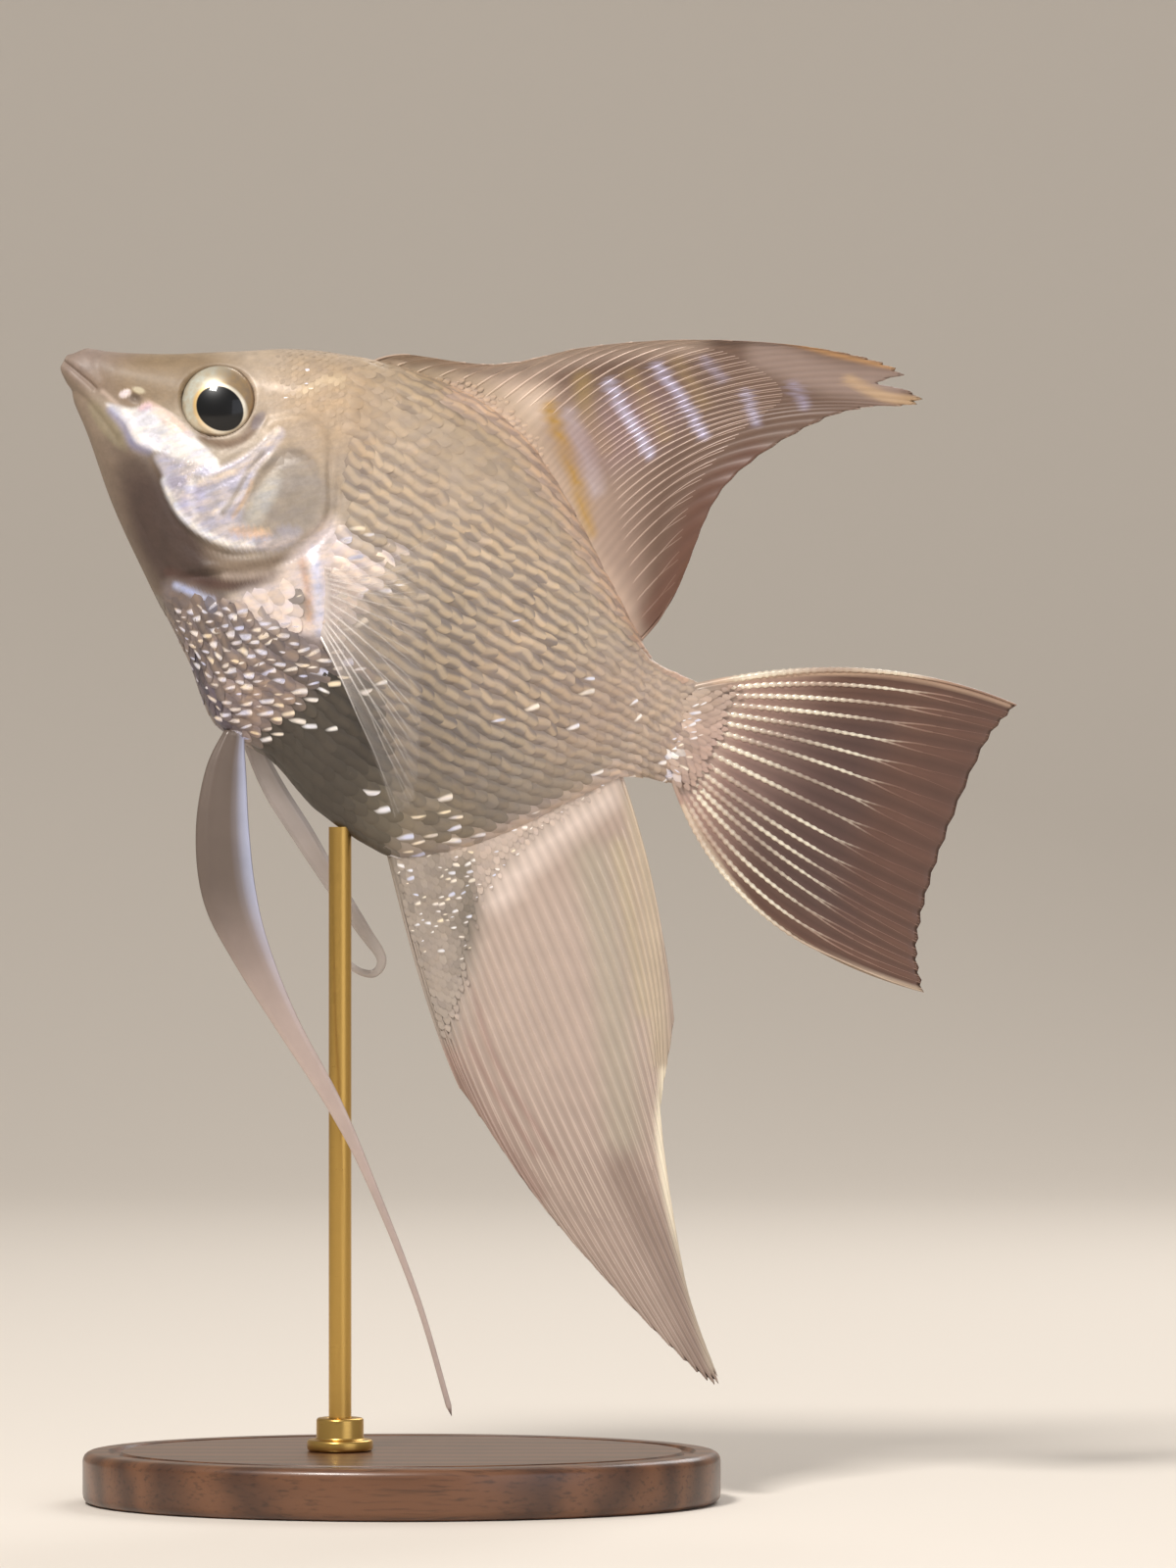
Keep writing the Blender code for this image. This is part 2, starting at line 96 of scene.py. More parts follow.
def spline(points: Spots, at: Array, closed: bool = False) -> Array:
    """Evaluate a Catmull-Rom curve.

    Args:
        points: the points the curve passes through.
        at: places along the curve, 0 at its start and 1 at its end.
        closed: True if the curve returns to its first point.

    Returns:
        One row for each place.
    """
    pts = np.asarray(points, float)
    spans = len(pts) if closed else len(pts) - 1
    if closed:
        pts = np.vstack((pts[-1:], pts, pts[:2]))
    else:
        pts = np.vstack((2 * pts[:1] - pts[1:2], pts, 2 * pts[-1:] - pts[-2:-1]))
    place = np.asarray(at, float) * spans
    i = np.clip(place.astype(int), 0, spans - 1)
    t = (place - i)[..., None]
    p0, p1, p2, p3 = pts[i], pts[i + 1], pts[i + 2], pts[i + 3]
    return 0.5 * (2 * p1 + (p2 - p0) * t + (2 * p0 - 5 * p1 + 4 * p2 - p3) * t * t
                  + (3 * p1 - p0 - 3 * p2 + p3) * t ** 3)


def curve(points: Spots, count: int) -> Array:
    """Return count spots along the smooth curve through some points."""
    return spline(points, np.linspace(0, 1, count))


def ring_of(outline: Spots, count: int) -> Array:
    """Return count spots round the smooth closed curve through an outline."""
    return spline(outline, np.linspace(0, 1, count, endpoint=False), True)


def unit(vectors: Array) -> Array:
    """Return vectors scaled to length 1."""
    return vectors / np.maximum(np.linalg.norm(vectors, axis=-1, keepdims=True), 1e-9)


def left_of(ahead: Array) -> Array:
    """Return side-view directions turned a quarter to the left."""
    return np.stack((-ahead[:, 1], ahead[:, 0]), -1)


@dataclass
class Profile:
    """A smooth function through (x, value) knots that never overshoots them."""

    knots: Spots
    xs: Array = field(init=False)
    ys: Array = field(init=False)
    slopes: Array = field(init=False)

    def __post_init__(self) -> None:
        """Work out the slope at each knot."""
        self.xs, self.ys = np.array(self.knots, float).T
        run = np.diff(self.xs)
        rise = np.diff(self.ys) / run
        self.slopes = np.zeros(len(self.xs))
        self.slopes[0], self.slopes[-1] = rise[0], rise[-1]
        for i in range(1, len(self.xs) - 1):
            if rise[i - 1] * rise[i] > 0:
                before = 2 * run[i] + run[i - 1]
                after = run[i] + 2 * run[i - 1]
                self.slopes[i] = (before + after) / (before / rise[i - 1] + after / rise[i])

    def __call__(self, x: Array) -> Array:
        """Evaluate the function.

        Args:
            x: places, of which those beyond the end knots count as at them.

        Returns:
            The value at each place.
        """
        x = np.asarray(x, float)
        i = np.clip(np.searchsorted(self.xs, x) - 1, 0, len(self.xs) - 2)
        run = self.xs[i + 1] - self.xs[i]
        t = np.clip((x - self.xs[i]) / run, 0.0, 1.0)
        ease = t * t * (3 - 2 * t)
        lead = t * (1 - t) ** 2 * self.slopes[i] * run
        lag = -t * t * (1 - t) * self.slopes[i + 1] * run
        return self.ys[i] * (1 - ease) + self.ys[i + 1] * ease + lead + lag


def to_row(points: Array) -> Array:
    """Turn fish points into the frame's row coordinates.

    Args:
        points: points (a, y, b) in millimetres.

    Returns:
        Points (x, y, z) in metres.
    """
    a, y, b = points[..., 0], points[..., 1], points[..., 2]
    x = SNOUT_X + a * math.cos(PITCH) + b * math.sin(PITCH)
    z = SNOUT_Z - a * math.sin(PITCH) + b * math.cos(PITCH)
    return np.stack((x, y, z), -1) * MM


def line_distance(spots: Array, route: Array) -> tuple[Array, Array]:
    """Measure how far side-view spots lie from a line of straight pieces.

    Args:
        spots: (N, 2) side-view points.
        route: (M, 2) points of the line.

    Returns:
        The signed distance, positive to the left of the line's direction, and the share
        of the line's length at the nearest point.
    """
    run = np.diff(route, axis=0)
    length = np.maximum(np.linalg.norm(run, axis=1), 1e-9)
    before = np.concatenate(([0.0], np.cumsum(length)[:-1]))
    best = np.full(len(spots), np.inf)
    signed = np.zeros(len(spots))
    share = np.zeros(len(spots))
    for start, step, size, past in zip(route[:-1], run, length, before):
        gap = spots - start
        t = np.clip(gap @ step / size ** 2, 0.0, 1.0)
        off = gap - t[:, None] * step
        far = np.linalg.norm(off, axis=1)
        near = far < best
        turn = step[0] * gap[:, 1] - step[1] * gap[:, 0]
        best = np.where(near, far, best)
        signed = np.where(near, far * np.where(turn >= 0, 1.0, -1.0), signed)
        share = np.where(near, (past + t * size) / length.sum(), share)
    return signed, share


def inside_depth(spots: Array, outline: Array) -> Array:
    """Measure how deep side-view spots lie inside a closed outline.

    Args:
        spots: (N, 2) side-view points.
        outline: (M, 2) corners of the outline.

    Returns:
        Distances from the outline, negative outside it.
    """
    ring = np.vstack((outline, outline[:1]))
    within = np.zeros(len(spots), bool)
    for (x0, y0), (x1, y1) in zip(ring[:-1], ring[1:]):
        if y0 == y1:
            continue
        crosses = (y0 > spots[:, 1]) != (y1 > spots[:, 1])
        at = (x1 - x0) * (spots[:, 1] - y0) / (y1 - y0) + x0
        within ^= crosses & (spots[:, 0] < at)
    far = np.abs(line_distance(spots, ring)[0])
    return np.where(within, far, -far)


# --- mesh helpers

def edit_mode(on: bool = True) -> None:
    """Put the active object into edit mode, or back into object mode."""
    bpy.ops.object.mode_set(mode='EDIT' if on else 'OBJECT')


def deselect_all() -> None:
    """Leave edit mode and clear the selection."""
    if bpy.context.object and bpy.context.object.mode != 'OBJECT':
        edit_mode(False)
    bpy.ops.object.select_all(action='DESELECT')


def activate(obj: Piece) -> None:
    """Make an object the only selected and the active one.

    Args:
        obj: the object.
    """
    deselect_all()
    obj.select_set(True)
    bpy.context.view_layer.objects.active = obj


def raw(values: Array) -> Array:
    """Return values as the flat row of single-precision numbers that a mesh takes."""
    return np.asarray(values, np.float32).ravel()


def pick(obj: Piece, kind: str, test: Callable[[Any], bool]) -> None:
    """Select what passes a test on the active object, and stay in edit mode.

    Args:
        obj: the active object.
        kind: 'FACE' or 'EDGE'.
        test: tells whether a face or an edge is wanted.
    """
    edit_mode()
    bpy.ops.mesh.select_mode(use_extend=False, use_expand=False, type=kind)
    bpy.ops.mesh.select_all(action='DESELECT')
    edit_mode(False)
    for part in obj.data.polygons if kind == 'FACE' else obj.data.edges:
        part.select = test(part)
    edit_mode()


def get_points(mesh: bpy.types.Mesh) -> Array:
    """Return a mesh's vertex positions as an (N, 3) array."""
    return np.array([vertex.co[:] for vertex in mesh.vertices])


def set_points(mesh: bpy.types.Mesh, points: Array) -> None:
    """Move a mesh's vertices to an (N, 3) array of positions."""
    mesh.vertices.foreach_set("co", raw(points))
    mesh.update()


def paint(obj: Piece, **values: Any) -> None:
    """Store what an object's finish reads at each vertex.

    Args:
        obj: the mesh object.
        values: linear colours or numbers by attribute name, one for each vertex, for
            each copy of a template, or for the whole mesh.
    """
    count = len(obj.data.vertices)
    for name, value in values.items():
        rows = np.atleast_1d(value)
        rows = np.repeat(rows, count // len(rows), 0)
        kind, key = 'FLOAT', "value"
        if rows.ndim == 2:
            kind, key = 'FLOAT_COLOR', "color"
            rows = np.column_stack((np.clip(rows, 0.0, 1.0), np.ones(count)))
        obj.data.attributes.new(name, kind, 'POINT').data.foreach_set(key, raw(rows))


def close_up(obj: Piece, angle: float = 180.0) -> None:
    """Merge doubled vertices, turn all faces outwards and shade smooth.

    Args:
        obj: the mesh object.
        angle: edges sharper than this many degrees stay sharp.
    """
    activate(obj)
    edit_mode()
    bpy.ops.mesh.select_all(action='SELECT')
    bpy.ops.mesh.remove_doubles(threshold=MERGE)
    bpy.ops.mesh.dissolve_degenerate(threshold=MERGE * 0.1)
    bpy.ops.mesh.normals_make_consistent(inside=False)
    edit_mode(False)
    obj.data.shade_smooth()
    if angle < 180.0:
        obj.data.set_sharp_from_angle(angle=math.radians(angle))


def named(obj: Piece, name: str) -> Piece:
    """Give an object and its mesh one name."""
    obj.name = obj.data.name = name
    return obj


def flat_grid(name: str, columns: int, rows: int) -> tuple[Piece, Array]:
    """Add a grid primitive, to be moved onto a surface.

    Args:
        name: the object's name.
        columns: faces along the first direction.
        rows: faces along the second direction.

    Returns:
        The new object, and its vertices' flat places from -1 to 1.
    """
    deselect_all()
    bpy.ops.mesh.primitive_grid_add(x_subdivisions=columns, y_subdivisions=rows, size=2.0)
    obj = named(bpy.context.object, name)
    return obj, get_points(obj.data)[:, :2]


def cylinder(name: str, sides: int, radius: float, low: float, high: float,
             x: float = 0.0) -> Piece:
    """Add an upright capped cylinder.

    Args:
        name: the object's name.
        sides: corners of its cross-section.
        radius: its radius.
        low: height of its foot.
        high: height of its top.
        x: place of its axis.

    Returns:
        The new object.
    """
    deselect_all()
    bpy.ops.mesh.primitive_cylinder_add(vertices=sides, radius=radius, depth=high - low,
                                        location=(x, 0.0, (low + high) / 2))
    bpy.ops.object.transform_apply(location=True)
    return named(bpy.context.object, name)


def round_edges(obj: Piece, width: float, segments: int) -> None:
    """Leave edit mode, round the edges sharper than 60 degrees and close the mesh.

    Args:
        obj: the active object.
        width: the rounding's width in metres.
        segments: its faces.
    """
    edit_mode(False)
    bevel = obj.modifiers.new("rounded", 'BEVEL')
    bevel.width, bevel.segments = width, segments
    bevel.limit_method, bevel.angle_limit = 'ANGLE', math.radians(60)
    bpy.ops.object.modifier_apply(modifier=bevel.name)
    close_up(obj, 35.0)


@dataclass
class Template:
    """A small mesh modelled once, kept as arrays, to be copied into a joined mesh."""

    points: Array
    corners: Array
    starts: Array

    @classmethod
    def taken_from(cls, obj: Piece) -> "Template":
        """Read an object's mesh and remove the object.

        Args:
            obj: the modelled object.

        Returns:
            Its mesh as arrays.
        """
        deselect_all()
        mesh = obj.data
        made = cls(get_points(mesh),
                   np.array([loop.vertex_index for loop in mesh.loops], np.int32),
                   np.array([face.loop_start for face in mesh.polygons], np.int32))
        bpy.data.objects.remove(obj, do_unlink=True)
        bpy.data.meshes.remove(mesh)
        return made

    def stamp(self, name: str, places: Array) -> Piece:
        """Join one copy of the template for each set of vertex places.

        Args:
            name: the joined object's name.
            places: (copies, vertices, 3) fish points (a, y, b).

        Returns:
            The joined object.
        """
        copies, size = places.shape[:2]
        shift = np.arange(copies, dtype=np.int32)[:, None]
        mesh = bpy.data.meshes.new(name)
        mesh.vertices.add(copies * size)
        mesh.loops.add(copies * len(self.corners))
        mesh.polygons.add(copies * len(self.starts))
        mesh.vertices.foreach_set("co", raw(to_row(places)))
        mesh.loops.foreach_set("vertex_index", (self.corners + shift * size).ravel())
        mesh.polygons.foreach_set("loop_start", (self.starts + shift * len(self.corners)).ravel())
        mesh.update(calc_edges=True)
        mesh.validate()
        obj = bpy.data.objects.new(name, mesh)
        bpy.context.scene.collection.objects.link(obj)
        return obj


def tube_template(sides: int, rings: int) -> Template:
    """Model a capped tube of unit radius with its length along Z from 0 to 1.

    Args:
        sides: corners of its cross-section.
        rings: cross-sections along its length.

    Returns:
        The tube as a template.
    """
    obj = cylinder("tube", sides, 1.0, 0.0, 1.0)
    height = get_points(obj.data)[:, 2]
    pick(obj, 'EDGE', lambda edge: np.ptp(height[list(edge.vertices)]) > 0.5)
    bpy.ops.mesh.subdivide(number_cuts=rings - 2)
    edit_mode(False)
    return Template.taken_from(obj)


def settle(obj: Piece, slot: str, finish: Finish, *nodes: str) -> None:
    """Dress a finished piece, place it in the frame and report it.

    Args:
        obj: the finished piece.
        slot: the record's material slot; not used.
        finish: its material.
        nodes: the CAD nodes that it stands for.
    """
    obj.data.materials.clear()
    obj.data.materials.append(finish)
    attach(obj, "root")
    if nodes:
        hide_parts(*nodes)
    LOG.info("%s: %d triangles", obj.name,
             sum(len(face.vertices) - 2 for face in obj.data.polygons))


# --- finishes

WHITE = (1, 1, 1, 1)
RGBA = {"data_type": 'RGBA'}
TIMES = {"operation": 'MULTIPLY'}
EASED = {"interpolation_type": 'SMOOTHSTEP'}


def add_node(tree: bpy.types.NodeTree, kind: str, sockets: Sockets = (),
             **settings: Any) -> bpy.types.Node:
    """Add a shader node with its settings, and link or set its inputs.

    Args:
        tree: the material's node tree.
        kind: the node's type, without ShaderNode.
        sockets: what its inputs are linked or set to, as in link.
        settings: the node's own properties.

    Returns:
        The new node.
    """
    node = tree.nodes.new("ShaderNode" + kind)
    for name, value in settings.items():
        setattr(node, name, value)
    link(node, sockets)
    return node


def link(node: bpy.types.Node, sockets: Sockets) -> None:
    """Link or set a node's inputs.

    Args:
        node: the node.
        sockets: values, output sockets, or nodes whose first output is meant, by input
            name or in the order of the inputs in use.
    """
    used = [socket for socket in node.inputs if socket.enabled]
    named_sockets = {socket.name: socket for socket in reversed(used)}
    pairs = ([(named_sockets[name], value) for name, value in sockets.items()]
             if isinstance(sockets, dict) else zip(used, sockets))
    for socket, value in pairs:
        if isinstance(value, bpy.types.Node):
            value = next(output for output in value.outputs if output.enabled)
        if isinstance(value, bpy.types.NodeSocket):
            node.id_data.links.new(value, socket)
        else:
            socket.default_value = value


def new_material(name: str) -> tuple[Finish, Adder, bpy.types.Node]:
    """Make a material.

    Args:
        name: its name.

    Returns:
        The material, what adds a node to it, and its Principled shader.
    """
    made = bpy.data.materials.new(name)
    made.use_nodes = True
    return made, partial(add_node, made.node_tree), made.node_tree.nodes["Principled BSDF"]


def rgba(code: str) -> tuple[float, ...]:
    """Return a hex colour as four linear values."""
    return (*linear(code), 1.0)


@dataclass(frozen=True)
class Guanine:
    """Guanine crystals under wet skin: slanting streaks that turn lilac, white and peach."""

    streak_mm: float = 0.55
    broad_mm: float = 0.935
    stretch: float = 2.6
    lean: float = math.radians(-15.0)
    cool: str = "#DDDCF1"
    warm: str = "#FFF1E3"
    shade: float = 0.76
    light: float = 1.12
    metallic: float = 0.5
    roughness: float = 0.56
    pearl_roughness: float = 0.22

    def lay(self, add: Adder, shader: bpy.types.Node, tint: Any, pearl: Any) -> None:
        """Shade tint by the crystals and drive the shader with it.

        Args:
            add: adds a node to the material.
            shader: its Principled shader.
            tint: the colour below the crystals.
            pearl: how many crystals there are, from 0 to 1.
        """
        flow = add("Mapping", {"Vector": add("TexCoord").outputs["Object"],
                               "Rotation": (0.0, self.lean, 0.0),
                               "Scale": (self.stretch, 1.0, 1.0)}, vector_type='TEXTURE')
        fine, broad = (add("TexNoise", (flow, 1 / (size * MM), 2.0))
                       for size in (self.streak_mm, self.broad_mm))
        hue = add("MapRange", (broad, 0.40, 0.62))
        dim = add("MapRange", (fine, 0.36, 0.54, self.shade, self.light))
        cast = add("Mix", (hue, rgba(self.cool), rgba(self.warm)), **RGBA)
        cast = add("VectorMath", (cast, dim), **TIMES)
        cast = add("Mix", (pearl, WHITE, cast), **RGBA)
        link(shader, {
            "Base Color": add("VectorMath", (tint, cast), **TIMES),
            "Metallic": add("Math", (pearl, self.metallic), **TIMES),
            "Roughness": add("MapRange", (pearl, 0.0, 1.0, self.roughness,
                                          self.pearl_roughness))})


@dataclass(frozen=True)
class PearlSkin:
    """Wet fish skin over guanine: satin, with soft-edged highlights and fine pores.

    The pores are drawn coarser than the fish's own, so that they show.
    """

    name: str = "wet_pearly_fish_skin"
    pore_mm: float = 0.35
    pore_depth_mm: float = 0.03
    mottle_mm: float = 1.6
    mottle: tuple[float, float] = (0.84, 1.14)
    crystals: Guanine = Guanine()

    def make(self) -> Finish:
        """Make the finish, which reads the attributes "tint" and "pearl".

        Returns:
            The material.
        """
        made, add, shader = new_material(self.name)
        place = add("TexCoord").outputs["Object"]
        mottle = add("TexNoise", (place, 1 / (self.mottle_mm * MM), 5.0, 0.7))
        shade = add("MapRange", (mottle, 0.3, 0.7, *self.mottle))
        tint = add("VectorMath", (add("Attribute", attribute_name="tint"), shade), **TIMES)
        pearl = add("Attribute", attribute_name="pearl").outputs["Fac"]
        self.crystals.lay(add, shader, tint, pearl)
        pores = add("TexVoronoi", {"Vector": place, "Scale": 1 / (self.pore_mm * MM)})
        relief = add("Bump", {"Height": pores, "Strength": 0.5,
                              "Distance": self.pore_depth_mm * MM})
        link(shader, {"Normal": relief, "Coat Weight": 0.05, "Coat Roughness": 0.25})
        return made


@dataclass(frozen=True)
class PearlScale:
    """Thin bony scale over guanine: a painted crest highlight and side shade, on some a painted
    flash.
    """

    name: str = "wet_guanine_backed_scale"
    crest_at: float = 0.54
    # colour gains of the painted highlight on the crest and of the painted shade on the sides
    crest: tuple[float, ...] = (1.31, 1.25, 1.10, 1.0)
    groove_shade: tuple[float, ...] = (0.57, 0.57, 0.63, 1.0)
    # place, turn and size of the painted mirror flash on a scale's face
    flash_at: tuple[float, ...] = (0.72, 0.50, 0.0)
    flash_lean: float = 0.75
    flash_size: tuple[float, ...] = (0.52, 0.13, 1.0)
    growth_rings: float = 1.5
    ring_depth_mm: float = 0.02
    crystals: Guanine = Guanine(shade=0.86)

    def make(self) -> Finish:
        """Make the finish, which reads each scale's own UV map "face".

        Returns:
            The material.
        """
        made, add, shader = new_material(self.name)
        tint, glow = (add("Attribute", attribute_name=name) for name in ("tint", "glow"))
        pearl, ribs, flash = (add("Attribute", attribute_name=name).outputs["Fac"]
                              for name in ("pearl", "ribs", "flash"))
        face = add("UVMap", uv_map="face")
        across = add("SeparateXYZ", (face,)).outputs["Y"]
        # painted light and shade: each scale's crest is lightened as a painted highlight and its
        # sides darkened as painted shade
        off = add("Math", (across, self.crest_at), operation='SUBTRACT')
        off = add("Math", (off,), operation='ABSOLUTE')
        crest = add("MapRange", (off, 0.06, 0.27, 1.0, 0.0), **EASED)
        ridge_light = add("Mix", (crest, self.groove_shade, self.crest), **RGBA)
        ridge_light = add("Mix", (ribs, WHITE, ridge_light), **RGBA)
        colour = add("VectorMath", (tint, ridge_light), **TIMES)
        # painted glint: a bright dash in the glint's colour on each scale that has one
        spot = add("Mapping", (face, self.flash_at, (0.0, 0.0, self.flash_lean),
                               self.flash_size), vector_type='TEXTURE')
        reach = add("VectorMath", (spot,), operation='LENGTH')
        reach = add("Math", (reach, flash), operation='DIVIDE')
        shine = add("MapRange", (reach, 0.25, 1.2, 1.0, 0.0), **EASED)
        seen = add("Math", (flash, 0.05), operation='GREATER_THAN')
        lit = add("Math", (shine, seen), **TIMES)
        colour = add("Mix", (lit, colour, glow), **RGBA)
        silver = add("Math", (lit, 0.5, pearl), operation='MULTIPLY_ADD', use_clamp=True)
        self.crystals.lay(add, shader, colour, silver)
        rings = add("TexWave", {"Vector": spot, "Scale": self.growth_rings},
                    wave_type='RINGS', rings_direction='Z')
        relief = add("Bump", {"Height": rings, "Strength": 0.25,
                              "Distance": self.ring_depth_mm * MM})
        link(shader, {"Normal": relief, "Coat Weight": 0.15, "Coat Roughness": 0.15})
        return made


@dataclass(frozen=True)
class FinMembrane:
    """Fin skin between rays: thin, moist and part see-through, so that light passes it."""

    name: str = "moist_translucent_fin_membrane"
    cloud_mm: float = 3.0
    cloud: tuple[float, float] = (0.95, 1.05)
    metallic: float = 0.5
    roughness: float = 0.38
    pearl_roughness: float = 0.2

    def make(self) -> Finish:
        """Make the finish, which reads the attributes "tint", "pearl" and "veil".

        Returns:
            The material.
        """
        made, add, shader = new_material(self.name)
        pearl, veil = (add("Attribute", attribute_name=name).outputs["Fac"]
                       for name in ("pearl", "veil"))
        place = add("TexCoord").outputs["Object"]
        cloud = add("TexNoise", (place, 1 / (self.cloud_mm * MM), 4.0))
        shade = add("MapRange", (cloud, 0.3, 0.7, *self.cloud))
        tint = add("VectorMath", (add("Attribute", attribute_name="tint"), shade), **TIMES)
        link(shader, {
            "Base Color": tint, "Metallic": add("Math", (pearl, self.metallic), **TIMES),
            "Roughness": add("MapRange", (pearl, 0.0, 1.0, self.roughness,
                                          self.pearl_roughness)),
            "Alpha": veil, "Coat Weight": 0.2, "Coat Roughness": 0.15})
        return made


@dataclass(frozen=True)
class FishEye:
    """Wet cornea over a silvery iris and a black pupil: a sharp, glassy highlight."""

    name: str = "wet_cornea_over_silver_iris"
    pupil: float = 2.12
    ring: float = 2.38
    rim: float = 3.35
    centre: tuple[float, ...] = (0.85, -0.72, 0.0)
    squeeze: tuple[float, ...] = (0.92, 1.07, 0.0)
    black: str = "#050507"
    shadow: str = "#A08B74"
    silver: str = "#E6E8DA"
    gold: str = "#C9A46A"
    ring_pale: str = "#F4EAD6"
    ring_gold: str = "#F2C677"
    rim_brown: str = "#6B5F52"

    def make(self) -> Finish:
        """Make the finish, which reads the piece's own UV map, in eye millimetres.

        Returns:
            The material.
        """
        made, add, shader = new_material(self.name)
        flat = add("Mapping", {"Vector": add("UVMap", uv_map="iris"),
                               "Location": (-EYE_SPREAD / 2, -EYE_SPREAD / 2, 0.0),
                               "Scale": (EYE_SPREAD, EYE_SPREAD, 1.0)})
        off = add("VectorMath", (flat, self.centre), operation='SUBTRACT')
        oval = add("VectorMath", (off, self.squeeze), **TIMES)
        reach = add("VectorMath", (oval,), operation='LENGTH')
        whole = add("VectorMath", (flat,), operation='LENGTH')
        parts = add("SeparateXYZ", (flat,)).outputs
        streaks = add("TexNoise", (flat, 1.1, 5.0, 0.65))
        # painted light and shade: the iris is silver and its ring gold towards the front and
        # bottom, and the iris goes brown as painted shade towards the rear and top
        lean = add("Math", (parts["X"], -0.9), **TIMES)
        lean = add("Math", (parts["Y"], -0.22, lean), operation='MULTIPLY_ADD')
        lit = add("MapRange", (lean, -0.8, 2.2))
        colour = add("Mix", (lit, rgba(self.shadow), rgba(self.silver)), **RGBA)
        speck = add("MapRange", (streaks, 0.35, 0.65, 0.0, 0.45))
        colour = add("Mix", (speck, colour, rgba(self.gold)), **RGBA)
        ring = add("Mix", (lit, rgba(self.ring_pale), rgba(self.ring_gold)), **RGBA)
        edge = add("MapRange", (reach, self.ring, self.ring + 0.25))
        colour = add("Mix", (edge, ring, colour), **RGBA)
        hole = add("MapRange", (reach, self.pupil, self.pupil + 0.1))
        colour = add("Mix", (hole, rgba(self.black), colour), **RGBA)
        rim = add("MapRange", (whole, self.rim, self.rim + 0.3))
        colour = add("Mix", (rim, colour, rgba(self.rim_brown)), **RGBA)
        link(shader, {"Base Color": colour, "Metallic": add("Math", (hole, 0.55), **TIMES),
                      "Roughness": 0.35, "Specular IOR Level": 0.25, "Coat Weight": 0.45,
                      "Coat Roughness": 0.03})
        return made


@dataclass(frozen=True)
class Walnut:
    """Satin-lacquered black walnut: brown long grain with darker growth lines.

    The pores are drawn a little wider than the wood's own, so that they show.
    """

    name: str = "lacquered_walnut"
    light: str = "#70492F"
    dark: str = "#4C2F1E"
    pore: str = "#24140B"
    warp_mm: float = 6.0
    ring_mm: float = 13.2
    pore_mm: float = 0.35
    pore_depth_mm: float = 0.05

    def make(self) -> Finish:
        """Make the finish, with its grain along the foot's length.

        Returns:
            The material.
        """
        made, add, shader = new_material(self.name)
        place = add("TexCoord").outputs["Object"]
        along = add("Mapping", {"Vector": place, "Scale": (0.12, 1.0, 1.0),
                                "Rotation": (0.25, 0.0, 0.05)})
        warp = add("TexNoise", (along, 1 / (self.warp_mm * MM), 2.0)).outputs["Color"]
        bent = add("VectorMath", (warp, (0.003,) * 3, along), operation='MULTIPLY_ADD')
        rings = add("TexWave", {"Vector": bent, "Scale": 1 / (self.ring_mm * MM),
                                "Distortion": 5.0, "Detail": 4.0},
                    wave_type='BANDS', bands_direction='Y').outputs["Fac"]
        pores = add("Mapping", {"Vector": place, "Scale": (0.05, 1.0, 1.0)})
        fleck = add("TexNoise", (pores, 1 / (self.pore_mm * MM), 3.0))
        amount = add("MapRange", (fleck, 0.52, 0.72, 0.0, 0.55))
        base = add("Mix", (rings, rgba(self.light), rgba(self.dark)), **RGBA)
        link(shader, {
            "Base Color": add("Mix", (amount, base, rgba(self.pore)), **RGBA),
            "Normal": add("Bump", {"Height": fleck, "Strength": 0.15,
                                   "Distance": self.pore_depth_mm * MM}),
            "Roughness": 0.38, "Coat Weight": 0.35, "Coat Roughness": 0.18})
        return made


@dataclass(frozen=True)
class BrushedBrass:
    """Lathe-brushed brass: warm metal with fine turned lines that spread the highlight.

    A lathe's own lines are finer; these are as coarse as they need to be to show.
    """

    name: str = "lathe_brushed_brass"
    colour: str = "#C8A25A"
    line_mm: float = 0.15
    line_depth_mm: float = 0.02

    def make(self) -> Finish:
        """Make the finish, with its brushing round the upright axis.

        Returns:
            The material.
        """
        made, add, shader = new_material(self.name)
        squash = add("Mapping", {"Vector": add("TexCoord").outputs["Object"],
                                 "Scale": (0.03, 0.03, 1.0)})
        lines = add("TexNoise", (squash, 1 / (self.line_mm * MM), 2.0))
        link(shader, {
            "Roughness": add("MapRange", (lines, 0.0, 1.0, 0.22, 0.42)),
            "Normal": add("Bump", {"Height": lines, "Strength": 0.2,
                                   "Distance": self.line_depth_mm * MM}),
            "Base Color": rgba(self.colour), "Metallic": 1.0})
        return made


@dataclass(frozen=True)
class PaleSweep:
    """Seamless matt studio paper: even and pale, so that the fish stands alone."""

    name: str = "matt_studio_paper"
    colour: str = "#E6DDD2"

    def make(self) -> Finish:
        """Make the finish.

        Returns:
            The material.
        """
        made, _, shader = new_material(self.name)
        link(shader, {"Base Color": rgba(self.colour), "Roughness": 0.85})
        return made


# --- the body's form

BACK = Profile((
    (-0.6, 0.9), (0, 1.7), (1, 2.9), (2.6, 3.5), (7.1, 5.8), (13.6, 9.8), (17.5, 12.4),
    (22.3, 14.8), (28.9, 17), (35.8, 17.8), (41.2, 17.2), (46.9, 14.8), (57.1, 8.6), (61.9, 5.7),
    (65.5, 4.5), (72, 4.9)))
BELLY = Profile((
    (-0.6, 0.3), (0, -0.5), (1.6, -1.6), (4.4, -3.8), (10.9, -9.3), (17.2, -13.7), (24.4, -18.5),
    (31.1, -23), (35.5, -23), (42.8, -25.1), (48.3, -25.6), (51.5, -25.4), (55.5, -22.8),
    (60, -18), (64.3, -11.6), (67.7, -6.9), (72, -5.4)))
KEEL = Profile(((-0.6, 0.6), (10, 1.6), (20, 1.2), (35, -0.5), (72, -0.2)))
